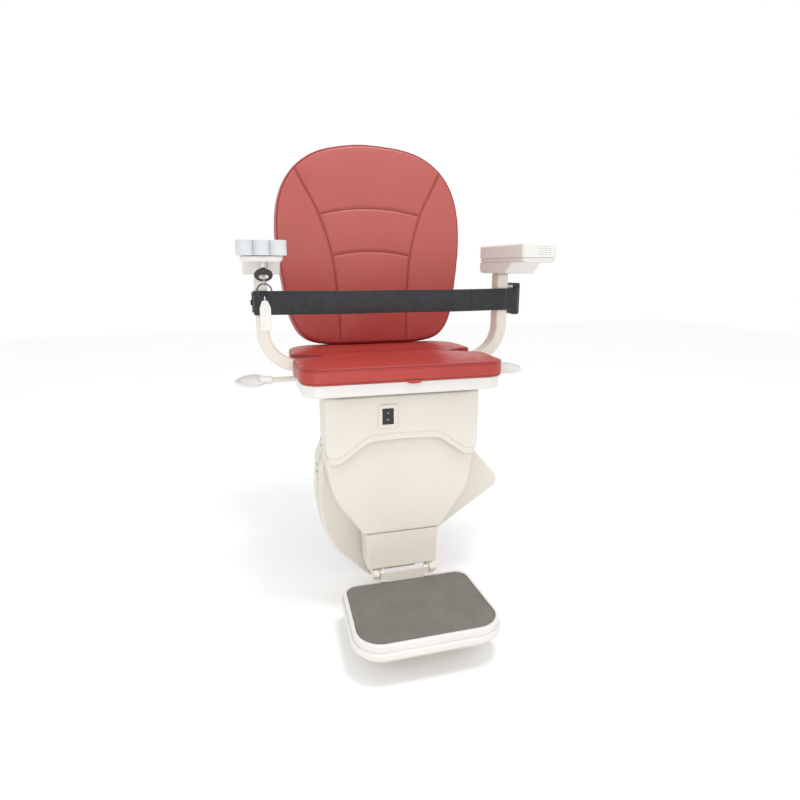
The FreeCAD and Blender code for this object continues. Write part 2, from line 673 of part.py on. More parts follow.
def arm_brackets():
    """The sockets that join the arms' feet to the seat frame, below the seat's side notches."""
    post = box(160, 196, NOTCH_Y - 20, NOTCH_Y + 20, PAN_BOTTOM_Z + 1, CUSHION_BOTTOM_Z - 4)
    inner = box(140.5, 162, NOTCH_Y - 20, NOTCH_Y + 20, PAN_BOTTOM_Z + 1, PAN_BOTTOM_Z + 21)
    bracket = union([post, inner])
    bracket = bracket.cut(rod(130, LEVER_Y, LEVER_Z, LEVER_SHAFT_R + 0.4, 100, X_AXIS))
    return Part.makeCompound([bracket, mirror_x(bracket)])


def swivel_bearing():
    """The fixed ring under the swivel plate, with the groove that the latch pin stands in."""
    ring = tube(0, SWIVEL_Y, SHELF_TOP_Z, BEARING_R, BEARING_BORE_R, BEARING_H, Z_AXIS)
    groove_half = LATCH_R + 0.5
    outer = LATCH_OFFSET_Y + groove_half
    inner = LATCH_OFFSET_Y - groove_half
    return ring.cut(tube(0, SWIVEL_Y, SHELF_TOP_Z + 4, outer, inner, BEARING_H, Z_AXIS))


def swivel_plate():
    disc_z = SHELF_TOP_Z + BEARING_H + 0.5
    boss_z = disc_z + SWIVEL_DISC_T
    disc = rod(0, SWIVEL_Y, disc_z, SWIVEL_DISC_R, SWIVEL_DISC_T, Z_AXIS)
    spindle = rod(0, SWIVEL_Y, SHELF_TOP_Z - 18, SPINDLE_R, 32, Z_AXIS)
    boss = rod(0, SWIVEL_Y, boss_z, SWIVEL_BOSS_R, PAN_BOTTOM_Z + 1 - boss_z, Z_AXIS)
    plate = union([disc, spindle, boss])
    return plate.cut(rod(0, SWIVEL_Y + LATCH_OFFSET_Y, 255, LATCH_R + RUNNING_GAP, 60, Z_AXIS))


def swivel_latch():
    """The pin that drops into the bearing and holds the seat square to the rail."""
    y = SWIVEL_Y + LATCH_OFFSET_Y
    pin = rod(0, y, SHELF_TOP_Z + 5, LATCH_R, 34, Z_AXIS)
    collar = rod(0, y, PAN_BOTTOM_Z + 2.5, LATCH_R + 1.5, 3, Z_AXIS)
    return union([pin, collar])


def lever_shaft():
    return rod(-300, LEVER_Y, LEVER_Z, LEVER_SHAFT_R, 600, X_AXIS)


def swivel_lever(side):
    """A leaf-shaped paddle with a raised rim on the end of the cross shaft."""
    leaf_points = [(0, 9), (20, 22), (44, 18), (66, -2), (44, -20), (20, -21), (0, -9)]
    start_x = 286
    outline = smooth_face([(start_x + u, v) for u, v in leaf_points], in_xy(-3))
    leaf = outline.extrude(V(0, 0, 6))
    dish_points = [(start_x + 4 + u * 0.86, v * 0.8) for u, v in leaf_points]
    dish = smooth_face(dish_points, in_xy(1)).extrude(V(0, 0, 4))
    leaf = leaf.cut(dish)
    hub = rod(270, 0, 0, LEVER_SHAFT_R + 3.5, 28, X_AXIS)
    lever = union([leaf, hub]).cut(rod(260, 0, 0, LEVER_SHAFT_R, 40, X_AXIS))
    lever.rotate(V(0, 0, 0), X_AXIS, 24)
    lever.translate(V(0, LEVER_Y, LEVER_Z))
    return lever if side > 0 else mirror_x(lever)


# ---- backrest ----

def tilt_back(shape):
    shape.rotate(V(0, BACK_FRONT_Y, BACK_BOTTOM_Z), X_AXIS, -BACK_TILT_DEG)
    return shape


def back_solid(grow, y0, y1):
    middle_z = (BACK_BOTTOM_Z + BACK_TOP_Z) / 2
    half_h = (BACK_TOP_Z - BACK_BOTTOM_Z) / 2
    half_w = BACK_HALF_W
    points = [(u * (1 + grow / half_w), middle_z + (v - middle_z) * (1 + grow / half_h))
              for u, v in BACK_OUTLINE]
    face = smooth_face(full_outline(points), in_xz(y0))
    return face.extrude(V(0, y1 - y0, 0))


def full_outline(points):
    """Outline from its right half, whose first and last points lie on the middle line."""
    return points + [(-u, v) for u, v in reversed(points[1:-1])]


def backrest_cushion():
    cushion = back_solid(0, BACK_FRONT_Y, BACK_FRONT_Y + BACK_CUSHION_T)
    cushion = soften(cushion, 12, edge_at_y(BACK_FRONT_Y))
    return tilt_back(cushion)


def backrest_shell():
    y0 = BACK_FRONT_Y + BACK_CUSHION_T + 0.5
    shell = back_solid(-2, y0, y0 + BACK_SHELL_T)
    shell = soften(shell, 6, edge_at_y(y0 + BACK_SHELL_T))
    return tilt_back(shell)


def backrest_brackets():
    """Two flat bars that run from the seat frame up the back of the shell."""
    bars = []
    foot_z = APRON_TOP_Z + 1.5
    y0 = BACK_FRONT_Y + BACK_CUSHION_T + BACK_SHELL_T + 1
    bar_w = 20
    spacing = 150
    for x in (-(spacing + bar_w) / 2, (spacing - bar_w) / 2):
        upright = tilt_back(box(x, x + bar_w, y0, y0 + 6, BACK_BOTTOM_Z - 52, BACK_BOTTOM_Z + 210))
        foot = box(x, x + bar_w, 82, y0 + 8, foot_z, PAN_BOTTOM_Z - 0.5)
        riser = box(x, x + bar_w, y0 - 4, y0 + 4, foot_z, BACK_BOTTOM_Z - 37)
        tie = box(x, x + bar_w, 62, 84, foot_z, PAN_BOTTOM_Z + 1)
        bars.append(union([upright, foot, riser, tie]))
    return Part.makeCompound(bars)


# ---- arms ----

def arm_upright(side):
    inner_x = ARM_X - ARM_W / 2
    outer_x = ARM_X + ARM_W / 2
    foot_top = CUSHION_BOTTOM_Z + 1 + ARM_FOOT_T
    foot_bottom = CUSHION_BOTTOM_Z + 1
    neck_z = ARM_PIVOT_Z - 12
    outline = [(186, foot_bottom, 0), (outer_x, foot_bottom, ARM_BEND_R + 24), (outer_x, neck_z, 4),
               (inner_x, neck_z, 4), (inner_x, foot_top, ARM_BEND_R), (186, foot_top, 3)]
    y0 = NOTCH_Y - ARM_DEPTH / 2
    arm = rounded_face(outline, in_xz(y0)).extrude(V(0, ARM_DEPTH, 0))
    arm = soften(arm, 5, edge_at_y(y0))
    arm = soften(arm, 5, edge_at_y(y0 + ARM_DEPTH))
    tang = box(178, 195, NOTCH_Y - 14, NOTCH_Y + 14, CUSHION_BOTTOM_Z - 3.5, foot_bottom + 2)
    knuckle = rod(ARM_X - 8, ARM_PIVOT_Y, ARM_PIVOT_Z, 10, 16, X_AXIS)
    neck = box(ARM_X - 8, ARM_X + 8, ARM_PIVOT_Y - 10, ARM_PIVOT_Y + 7, neck_z - 6, ARM_PIVOT_Z)
    arm = union([arm, tang, knuckle, neck])
    arm = arm.cut(rod(ARM_X - 20, ARM_PIVOT_Y, ARM_PIVOT_Z, ARM_PIN_R, 40, X_AXIS))
    return arm if side > 0 else mirror_x(arm)


def arm_hinge_pins():
    pin = rod(ARM_X - 15.5, ARM_PIVOT_Y, ARM_PIVOT_Z, ARM_PIN_R, 31, X_AXIS)
    return Part.makeCompound([pin, mirror_x(pin)])


def pad_face(inset, z, front_y=PAD_FRONT_Y):
    half = PAD_HALF_W - inset
    front = front_y + inset
    back = PAD_BACK_Y - inset
    return rounded_face([(ARM_X - half, front, 9), (ARM_X + half, front, 9),
                         (ARM_X + half, back, 16), (ARM_X - half, back, 16)], in_xy(z))


def arm_pad_top(front_y, grille):
    """The upper shell of an arm pad, hollow and open underneath."""
    z0 = PAD_BOTTOM_Z + 10.3
    top = PAD_BOTTOM_Z + PAD_H
    pad = pad_face(0, z0, front_y).extrude(V(0, 0, top - z0))
    pad = soften(pad, 5, edge_at_z(top))
    pad = pad.cut(pad_face(COVER_T, z0 - 1, front_y).extrude(V(0, 0, top - z0 - COVER_T + 1)))
    if grille:
        for row in range(5):
            for column in range(5):
                x = ARM_X - 4 + column * 6 + (row % 2) * 3
                z = z0 + 6 + row * 4
                pad = pad.cut(rod(x, PAD_FRONT_Y - 1, z, 0.9, 6, Y_AXIS))
    return pad


def arm_pad_base():
    """The lower shell with the hinge housing, whose cheeks straddle the upright."""
    lip = pad_face(1.5, PAD_BOTTOM_Z).extrude(V(0, 0, 10))
    lip = soften(lip, 6, edge_at_z(PAD_BOTTOM_Z))
    half = PAD_HALF_W - 3
    low_z = PAD_BOTTOM_Z - HINGE_HOUSING_H
    back_y = PAD_BACK_Y - 3
    top_z = PAD_BOTTOM_Z + 1
    profile = [(back_y, top_z, 0), (back_y, low_z, 12), (HOUSING_TOE_Y, low_z, 14),
               (HOUSING_TOE_Y - 34, top_z, 0)]
    housing = rounded_face(profile, in_yz(ARM_X - half)).extrude(V(2 * half, 0, 0))
    housing = soften(housing, 4, lambda edge: edge.BoundBox.XLength < 0.01 and edge.BoundBox.ZMax < top_z - 1)
    slot_half = ARM_W / 2 + 1
    slot_front = NOTCH_Y - ARM_DEPTH / 2 - 3
    slot = box(ARM_X - slot_half, ARM_X + slot_half, slot_front, PAD_BACK_Y + 1, low_z - 1, PAD_BOTTOM_Z)
    room = box(ARM_X - half + COVER_T, ARM_X + half - COVER_T, HOUSING_TOE_Y + 6, slot_front - COVER_T,
               low_z + COVER_T, PAD_BOTTOM_Z + 11)
    lugs = []
    for x in (ARM_X - 15.5, ARM_X + 8.5):
        lug = rod(x, ARM_PIVOT_Y, ARM_PIVOT_Z, 11, 7, X_AXIS)
        riser = box(x, x + 7, ARM_PIVOT_Y - 11, ARM_PIVOT_Y + 11, ARM_PIVOT_Z, PAD_BOTTOM_Z + 3)
        lugs.append(lug.fuse(riser))
    base = union([lip, housing]).cut(slot).cut(room)
    base = union([base] + lugs)
    knuckle_room = rod(ARM_X - 8.5, ARM_PIVOT_Y, ARM_PIVOT_Z, 10.6, 17, X_AXIS)
    pin_bore = rod(ARM_X - 30, ARM_PIVOT_Y, ARM_PIVOT_Z, ARM_PIN_R + RUNNING_GAP, 60, X_AXIS)
    return base.cut(knuckle_room).cut(pin_bore)


def toggle_pivot(radius, end_gap=0.0):
    """The upright pin on which the toggle rocks, or the bore for it, deeper by end_gap than the pin."""
    bottom_z = TOGGLE_PIN_BOTTOM_Z - end_gap
    return mirror_x(rod(ARM_X, PAD_FRONT_Y + TOGGLE_T - 1, bottom_z, radius, TOGGLE_PIN_L + end_gap, Z_AXIS))


def control_toggle():
    """The three-lobed finger toggle at the front of the control arm; it rocks left and right on its stem."""
    z0 = PAD_BOTTOM_Z + 11.5
    z1 = PAD_BOTTOM_Z + PAD_H - 1
    back_y = PAD_FRONT_Y + TOGGLE_T - 1
    end_y = back_y - 7
    half = TOGGLE_HALF_W
    lobes = [rod(ARM_X + dx, PAD_FRONT_Y + 9, z0, 16.5, z1 - z0, Z_AXIS) for dx in (-30, 0, 30)]
    wedge = rounded_face([(ARM_X - half, PAD_FRONT_Y - 9, 0), (ARM_X + half, PAD_FRONT_Y - 9, 0),
                          (ARM_X + half, end_y, 0), (ARM_X, back_y, 0), (ARM_X - half, end_y, 0)],
                         in_xy(z0)).extrude(V(0, 0, z1 - z0))
    bar = box(ARM_X - half + 4, ARM_X + half - 4, PAD_FRONT_Y + 3, back_y, z0, z1)
    stem = box(ARM_X - 3, ARM_X + 3, back_y - 4, PAD_FRONT_Y + 22, z0 + 6, z1 - 6)
    return mirror_x(union(lobes + [bar]).common(wedge).fuse(stem)).fuse(toggle_pivot(TOGGLE_PIN_R))


def toggle_slot():
    """The opening in the control arm's front wall for the toggle's stem."""
    slot = box(ARM_X - 5.5, ARM_X + 5.5, PAD_FRONT_Y + TOGGLE_T - 1, PAD_FRONT_Y + 24,
               PAD_BOTTOM_Z + 16, PAD_BOTTOM_Z + PAD_H - 6)
    return mirror_x(slot)


def key_switch():
    start_z = PAD_BOTTOM_Z - 10.6
    barrel = rod(KEY_X, KEY_Y, start_z, KEY_BARREL_R, 25, Z_AXIS)
    barrel = soften(barrel, 2, edge_at_z(start_z))
    keyway = rod(KEY_X, KEY_Y, start_z - 1, 5.0, 22, Z_AXIS)
    return barrel.cut(keyway)


def key():
    """A flat key: its blade stands in the lock, and its wide oval head hangs below with a slotted hole."""
    blade = box(KEY_X - 3.8, KEY_X + 3.8, KEY_Y - 1, KEY_Y + 1, KEY_HEAD_Z, PAD_BOTTOM_Z + 8)
    head = oval_plate(KEY_HEAD_HALF_W, KEY_HEAD_HALF_H, KEY_HEAD_Z, KEY_RIM / 2)
    slot_half_h = 4.4
    slot = oval_plate(9, slot_half_h, KEY_HEAD_Z - KEY_HEAD_HALF_H + KEY_RIM + slot_half_h, KEY_RIM)
    return union([blade, soften(head, 1.2, edge_at_y(KEY_Y - KEY_RIM / 2))]).cut(slot)


def oval_plate(half_w, half_h, z, half_t):
    """A flat oval across the key's plane, half_t thick to each side."""
    oval = Part.Ellipse(V(0, 0, 0), half_w, half_h).toShape()
    face = Part.Face(Part.Wire([oval]))
    face.rotate(V(0, 0, 0), X_AXIS, 90)
    face.translate(V(KEY_X, KEY_Y - half_t, z))
    return face.extrude(V(0, 2 * half_t, 0))


def key_link():
    """A small link round the lower rim of the key's head."""
    return Part.makeTorus(LINK_R, 1.0, V(KEY_X, KEY_Y, FOB_HINGE_Z), X_AXIS)


def key_ring():
    return Part.makeTorus(RING_R, 1.3, V(KEY_X, KEY_Y, RING_TOP_Z - RING_R), Y_AXIS)


def key_fob():
    """A tapered tag with an eye round the bottom of the ring."""
    eye_z = RING_TOP_Z - 2 * RING_R
    eye_r = 3.6
    top_z = eye_z - eye_r
    shoulder_z = top_z - 14
    bottom_z = top_z - 58
    outline = [(KEY_X - 5, top_z, 2), (KEY_X + 5, top_z, 2), (KEY_X + 10.5, shoulder_z, 8),
               (KEY_X + 10.5, bottom_z, 6), (KEY_X - 10.5, bottom_z, 6), (KEY_X - 10.5, shoulder_z, 8)]
    tag = rounded_face(outline, in_xz(KEY_Y - 2)).extrude(V(0, 4, 0))
    tag = soften(tag, 1.2, edge_at_y(KEY_Y - 2))
    eye = Part.makeTorus(eye_r, 1.0, V(KEY_X, KEY_Y, eye_z), X_AXIS)
    return tag.fuse(eye)


def call_speaker():
    cone = rod(ARM_X + 8, PAD_FRONT_Y + 4, PAD_BOTTOM_Z + 24, 13, 8, Y_AXIS)
    magnet = rod(ARM_X + 8, PAD_FRONT_Y + 12, PAD_BOTTOM_Z + 24, 8, 6, Y_AXIS)
    return union([cone, magnet])


# ---- lap belt ----

def belt_webbing():
    """One flat strip: round the outside of one upright, across the lap and round into the buckle."""
    turn_r = 4.0
    left_x = -(ARM_X + ARM_W / 2 + 1.5)
    left_end_y = NOTCH_Y + 14
    right_end_y = BELT_Y + 18
    front_y = BELT_Y - WEBBING_T
    outer_r = turn_r + WEBBING_T
    outline = [(left_x - WEBBING_T, left_end_y, 0), (left_x - WEBBING_T, front_y, outer_r),
               (BUCKLE_X + WEBBING_T, front_y, outer_r), (BUCKLE_X + WEBBING_T, right_end_y, 0),
               (BUCKLE_X, right_end_y, 0), (BUCKLE_X, BELT_Y, turn_r),
               (left_x, BELT_Y, turn_r), (left_x, left_end_y, 0)]
    return rounded_face(outline, in_xy(BELT_Z - WEBBING_W / 2)).extrude(V(0, 0, WEBBING_W))


def belt_anchor():
    """The steel plate and screw that hold the webbing's end on the outside of the upright."""
    x = -(ARM_X + ARM_W / 2 + 1.5 + WEBBING_T)
    y = NOTCH_Y + 4
    plate = box(x - 3, x, y - 6, y + 10, BELT_Z - 22, BELT_Z + 22)
    plate = soften(plate, 3, lambda edge: abs(edge.BoundBox.XLength - 3) < 0.01)
    screw = rod(x - 6, y + 2, BELT_Z, 6, 3, X_AXIS)
    return union([plate, screw])


def belt_tongue():
    y0 = BELT_Y + 18.2
    return box(BUCKLE_X, BUCKLE_X + 2, y0, y0 + 24, BELT_Z - 14, BELT_Z + 14)


def buckle_body():
    """The upright buckle on the outside of the other upright, with its button facing out."""
    y0 = BELT_Y + 14
    shell = box(BUCKLE_X - 9, BUCKLE_X + 11, y0, y0 + 60, BELT_Z - 38, BELT_Z + 38)
    shell = soften(shell, 5, lambda edge: edge.BoundBox.YLength > 50)
    throat_half = WEBBING_W / 2 + 1.5
    throat = box(BUCKLE_X - 1, BUCKLE_X + 3, y0 - 1, y0 + 32, BELT_Z - throat_half, BELT_Z + throat_half)
    button_well = box(BUCKLE_X + 6, BUCKLE_X + 12, y0 + 10, y0 + 38, BELT_Z - 12.5, BELT_Z + 12.5)
    return shell.cut(throat).cut(button_well)


def buckle_button():
    y0 = BELT_Y + 14
    button = box(BUCKLE_X + 8.2, BUCKLE_X + 12.5, y0 + 10.4, y0 + 37.6, BELT_Z - 12.1, BELT_Z + 12.1)
    return soften(button, 1.2, lambda edge: edge.BoundBox.XMin > BUCKLE_X + 12.4)


def buckle_bracket():
    """The cranked strap that carries the buckle off the upright."""
    inner = ARM_X + ARM_W / 2 + 0.2
    y0 = NOTCH_Y - 12
    return box(inner, BUCKLE_X - 9.2, y0, y0 + 26, BELT_Z + 27, BELT_Z + 33)


# ---- write every node ----

def main():
    os.makedirs("parts", exist_ok=True)
    left_cover, right_cover = side_covers()
    nodes = {
        "carriage_plate": carriage_plate(),
        "left_side_cover": left_cover,
        "right_side_cover": right_cover,
        "front_shield": front_shield(),
        "apron_cover": apron_cover(),
        "tower_rear_cover": tower_rear_cover(),
        "leg_panel": leg_panel(),
        "main_frame": main_frame(),
        "drive_pinion": drive_pinion(),
        "roller_axles": roller_axles(),
        "gearbox": gearbox(),
        "drive_motor": drive_motor(),
        "batteries": batteries(),
        "charge_contacts": charge_contacts(),
        "control_board": control_board(),
        "switch_bezel": switch_bezel(),
        "power_rocker": power_rocker(),
        "cover_screws": cover_screws(),
        "foot_tray": foot_tray(),
        "anti_slip_mat": anti_slip_mat(),
        "tray_hinge": tray_hinge(),
        "foot_hinge_pin": foot_hinge_pin(),
        "safety_pan": safety_pan(),
        "seat_cushion": seat_cushion(),
        "seat_pan": seat_pan(),
        "seat_frame": seat_frame(),
        "arm_brackets": arm_brackets(),
        "arm_hinge_pins": arm_hinge_pins(),
        "swivel_bearing": swivel_bearing(),
        "swivel_plate": swivel_plate(),
        "swivel_latch": swivel_latch(),
        "lever_shaft": lever_shaft(),
        "backrest_cushion": backrest_cushion(),
        "backrest_shell": backrest_shell(),
        "backrest_brackets": backrest_brackets(),
        "left_arm_pad": mirror_x(arm_pad_top(PAD_FRONT_Y + TOGGLE_T + 1, False)).cut(
            toggle_slot()).cut(toggle_pivot(TOGGLE_PIN_R + FREE_GAP)),
        "right_arm_pad": arm_pad_top(PAD_FRONT_Y, True),
        "left_arm_base": mirror_x(arm_pad_base()).cut(
            toggle_pivot(TOGGLE_PIN_R + RUNNING_GAP, PIN_END_GAP)).cut(
            rod(KEY_X, KEY_Y, PAD_BOTTOM_Z - 10, KEY_BARREL_R, 40, Z_AXIS)),
        "right_arm_base": arm_pad_base(),
        "control_toggle": control_toggle(),
        "key_switch": key_switch(),
        "key": key(),
        "key_link": key_link(),
        "key_ring": key_ring(),
        "key_fob": key_fob(),
        "call_speaker": call_speaker(),
        "belt_webbing": belt_webbing(),
        "belt_anchor": belt_anchor(),
        "belt_tongue": belt_tongue(),
        "buckle_body": buckle_body(),
        "buckle_button": buckle_button(),
        "buckle_bracket": buckle_bracket(),
    }
    for index, place in enumerate(roller_places(), start=1):
        nodes["guide_roller_%d" % index] = guide_roller(place)
    for name, side in (("left", -1), ("right", 1)):
        nodes[name + "_arm_upright"] = arm_upright(side)
        nodes[name + "_swivel_lever"] = swivel_lever(side)
    for name, shape in nodes.items():
        save(name, shape)
        print(name, len(shape.Solids), round(shape.Volume / 1000, 1), shape.isValid())


main()
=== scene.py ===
import json
import math

import bmesh
import bpy
from mathutils import Matrix, Vector, noise
from mathutils.bvhtree import BVHTree
from mathutils.kdtree import KDTree


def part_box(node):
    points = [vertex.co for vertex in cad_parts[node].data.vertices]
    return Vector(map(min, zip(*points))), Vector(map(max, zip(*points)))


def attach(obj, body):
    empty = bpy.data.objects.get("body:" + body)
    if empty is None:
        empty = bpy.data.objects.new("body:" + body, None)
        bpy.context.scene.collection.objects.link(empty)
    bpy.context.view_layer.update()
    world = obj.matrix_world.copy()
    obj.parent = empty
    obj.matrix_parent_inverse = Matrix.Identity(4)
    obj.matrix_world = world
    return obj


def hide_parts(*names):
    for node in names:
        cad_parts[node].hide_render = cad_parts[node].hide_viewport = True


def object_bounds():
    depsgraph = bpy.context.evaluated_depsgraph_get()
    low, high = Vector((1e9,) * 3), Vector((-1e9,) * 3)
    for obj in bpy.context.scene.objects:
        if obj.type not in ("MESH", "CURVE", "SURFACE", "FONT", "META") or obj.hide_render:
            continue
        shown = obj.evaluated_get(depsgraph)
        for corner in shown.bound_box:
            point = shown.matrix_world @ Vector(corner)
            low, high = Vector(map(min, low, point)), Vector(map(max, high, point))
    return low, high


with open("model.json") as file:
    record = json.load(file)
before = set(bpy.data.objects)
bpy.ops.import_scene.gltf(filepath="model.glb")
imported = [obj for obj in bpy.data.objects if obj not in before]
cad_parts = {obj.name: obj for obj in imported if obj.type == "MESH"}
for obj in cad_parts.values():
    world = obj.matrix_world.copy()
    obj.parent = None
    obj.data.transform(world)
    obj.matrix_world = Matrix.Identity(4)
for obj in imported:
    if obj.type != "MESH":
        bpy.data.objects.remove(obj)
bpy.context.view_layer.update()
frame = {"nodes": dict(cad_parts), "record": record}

# A seated stair chair in metres: +Z up, +Y to the rail behind it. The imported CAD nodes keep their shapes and
# get new materials; the cushions, piping, stitching and belt are made here in the space of their CAD solids.

MM = 0.001

# how far the padding may swell, and the sizes it is worked in
VOXEL = 5 * MM
SIM_FRAMES = 20
SEAT_CAP = 10 * MM
BACK_CAP = 12 * MM
SEAT_SHRINK = 2.5 * MM
BACK_SHRINK = 6 * MM
BACK_SAG = 4.5 * MM
PIN_BAND = 9 * MM
SEAM_BAND = 4 * MM
SEAT_PRESSURE = 3.0
BACK_PRESSURE = 4.0

# how far up from its foot, and down from its face, each cover is held at its rim or seams
SEAT_FOOT_HELD = 12 * MM
SEAT_RIM_HELD = 14 * MM
BACK_FOOT_HELD = 16 * MM
BACK_RIM_HELD = 24 * MM
BACK_SEAM_HELD = 20 * MM

# sculpting after the cloth has settled: how deep it reaches, unevenness, the width of a crease, and its fade
SEAT_SCULPT_DEPTH = 20 * MM
SEAT_WAVE = 0.9 * MM
SEAT_CREASE_W = 5 * MM
SEAT_FADE = 18 * MM
BACK_SCULPT_DEPTH = 30 * MM
BACK_WAVE = 0.7 * MM
BACK_CREASE_W = 4 * MM
BACK_CREASE_DEPTH = 2.0 * MM
BACK_FADE = 14 * MM

PIPING_R = 1.3 * MM
WELT_R = 0.8 * MM
FACE_WELT_R = 1.15 * MM
WELT_LIFT = 0.2 * MM
BACK_TILT = math.radians(5)
LINE_STEP = 2 * MM

# top stitching on the backrest
STITCH_OFFSET = 4.2 * MM
STITCH_L = 4 * MM
STITCH_GAP = 1.5 * MM
STITCH_R = 0.42 * MM
STITCH_LIFT = 0.25 * MM

# backrest seams as fractions of half the width and of the height, from the middle of the lower edge
SIDE_SEAM = [(0.80, 0.895), (0.70, 0.80), (0.546, 0.651), (0.424, 0.447), (0.385, 0.252), (0.368, 0.122),
             (0.366, 0.0)]
UPPER_SEAM = [(-0.546, 0.651), (-0.28, 0.676), (0.0, 0.684), (0.28, 0.676), (0.546, 0.651)]
LOWER_SEAM = [(-0.424, 0.447), (-0.21, 0.464), (0.0, 0.469), (0.21, 0.464), (0.424, 0.447)]

# seat folds on one side: the tip of the notch, the ends of the folds from it with their depths, and the
# two ends of the fold at the front corner, measured from the middle and from the front edge
NOTCH_TIP = (0.150, -0.040)
NOTCH_FOLDS = ((0.118, -0.052, 1.6 * MM), (0.128, -0.085, 1.1 * MM), (0.105, -0.030, 0.9 * MM))
FOLD_BOW = 6 * MM
CORNER_FOLD = ((0.205, 0.030), (0.172, 0.062))
CORNER_FOLD_DEPTH = 0.8 * MM

# lap belt: the strap, its bends, and the doubled length near the buckle with the box stitched on it
STRAP_T = 1.8 * MM
STRAP_BEND_R = 5 * MM
STRAP_STEPS = 60
STRAP_END_Y = 20 * MM
DOUBLED_X = (0.200, 0.290)
DOUBLED_STEPS = 20
BOX_X = (0.206, 0.284)
BOX_MARGIN = 5 * MM
BOX_PITCH = 4.5 * MM
BOX_THREAD_R = 0.45 * MM

# camera: place, downward pitch and turn to the side, then lens and sensor in millimetres
CAMERA_AT = (-0.321, -1.323, 0.543)
CAMERA_PITCH = 13.37
CAMERA_TURN = -15.37
CAMERA_LENS = 25.2
CAMERA_SENSOR = 36.0

# soft lights: name, place, aim, width and height, power, tint
LIGHTS = (
    ("key", (-1.4, -2.4, 1.9), (0, -0.05, 0.5), (1.4, 1.4), 8, (1.0, 0.98, 0.95)),
    ("low_fill", (-0.6, -2.2, 0.1), (0, -0.1, -0.05), (1.2, 0.6), 5.5, (1, 1, 1)),
    ("top", (0.35, -0.75, 2.5), (0, -0.1, 0.2), (0.6, 0.6), 20, (1, 1, 1)),
)
FLOOR_DROP = 45 * MM
FLOOR_REACH = 6.0


# ---- materials ----

class Shader:
    """One node material: a Principled shader and the textures that feed it."""

    def __init__(self, name, roughness, metallic=0.0):
        self.material = bpy.data.materials.new(name)
        self.material.use_nodes = True
        self.tree = self.material.node_tree
        self.bsdf = self.tree.nodes["Principled BSDF"]
        self.bsdf.inputs["Roughness"].default_value = roughness
        self.bsdf.inputs["Metallic"].default_value = metallic
        self.coords = self.node("ShaderNodeTexCoord").outputs["Object"]
        self.normal = None

    def node(self, kind, **settings):
        made = self.tree.nodes.new(kind)
        for key, value in settings.items():
            setattr(made, key, value)
        return made

    def link(self, output, socket):
        self.tree.links.new(output, socket)

    def placed(self, stretch):
        mapping = self.node("ShaderNodeMapping")
        mapping.inputs["Scale"].default_value = stretch
        self.link(self.coords, mapping.inputs["Vector"])
        return mapping.outputs["Vector"]

    def noise(self, scale, detail=3.0, stretch=(1, 1, 1)):
        made = self.node("ShaderNodeTexNoise")
        made.inputs["Scale"].default_value = scale
        made.inputs["Detail"].default_value = detail
        self.link(self.placed(stretch), made.inputs["Vector"])
        return made.outputs["Fac"]

    def cells(self, scale, feature="F1"):
        made = self.node("ShaderNodeTexVoronoi", feature=feature)
        made.inputs["Scale"].default_value = scale
        self.link(self.coords, made.inputs["Vector"])
        return made.outputs["Distance"]

    def waves(self, scale, direction, distortion=0.0):
        made = self.node("ShaderNodeTexWave", bands_direction=direction)
        made.inputs["Scale"].default_value = scale
        made.inputs["Distortion"].default_value = distortion
        self.link(self.coords, made.inputs["Vector"])
        return made.outputs["Fac"]

    def ranged(self, value, low, high, start=0.3, end=0.7):
        made = self.node("ShaderNodeMapRange")
        made.inputs["From Min"].default_value = start
        made.inputs["From Max"].default_value = end
        made.inputs["To Min"].default_value = low
        made.inputs["To Max"].default_value = high
        self.link(value, made.inputs["Value"])
        return made.outputs["Result"]

    def height(self):
        made = self.node("ShaderNodeSeparateXYZ")
        self.link(self.coords, made.inputs[0])
        return made.outputs["Z"]

    def summed(self, first, second):
        made = self.node("ShaderNodeMath", operation="ADD")
        self.link(first, made.inputs[0])
        self.link(second, made.inputs[1])
        return made.outputs[0]

    def colour(self, value, *colours, start=0.3, end=0.7):
        """Base colour from a texture value through a ramp of colours."""
        ramp = self.node("ShaderNodeValToRGB")
        elements = ramp.color_ramp.elements
        elements[0].position = start
        elements[1].position = end
        for step in range(1, len(colours) - 1):
            elements.new(start + (end - start) * step / (len(colours) - 1))
        for element, shade in zip(elements, colours):
            element.color = (*shade, 1.0)
        self.link(value, ramp.inputs["Fac"])
        self.link(ramp.outputs["Color"], self.bsdf.inputs["Base Color"])

    def rough(self, value, low, high):
        self.link(self.ranged(value, low, high), self.bsdf.inputs["Roughness"])

    def rounded(self, radius):
        """Soft highlights along moulded edges."""
        bevel = self.node("ShaderNodeBevel", samples=4)
        bevel.inputs["Radius"].default_value = radius
        self.normal = bevel.outputs["Normal"]
        self.link(self.normal, self.bsdf.inputs["Normal"])

    def bump(self, value, distance, strength=1.0):
        made = self.node("ShaderNodeBump")
        made.inputs["Strength"].default_value = strength
        made.inputs["Distance"].default_value = distance
        self.link(value, made.inputs["Height"])
        if self.normal is not None:
            self.link(self.normal, made.inputs["Normal"])
        self.normal = made.outputs["Normal"]
        self.link(self.normal, self.bsdf.inputs["Normal"])

    def set(self, **sockets):
        for name, value in sockets.items():
            self.bsdf.inputs[name.replace("_", " ")].default_value = value


def moulded_plastic(name, light, dark, roughness, edge=0.8 * MM):
    """Satin moulded plastic: faint clouding, uneven gloss, orange peel, and softened edges."""
    shader = Shader(name, roughness)
    shader.colour(shader.noise(7.0, 5.0), dark, light)
    shader.rough(shader.noise(24.0, 6.0), roughness - 0.06, roughness + 0.09)
    shader.rounded(edge)
    shader.bump(shader.noise(420.0, 2.0), 0.05 * MM, 0.45)
    shader.bump(shader.noise(38.0, 2.0), 0.22 * MM, 0.30)
    return shader.material


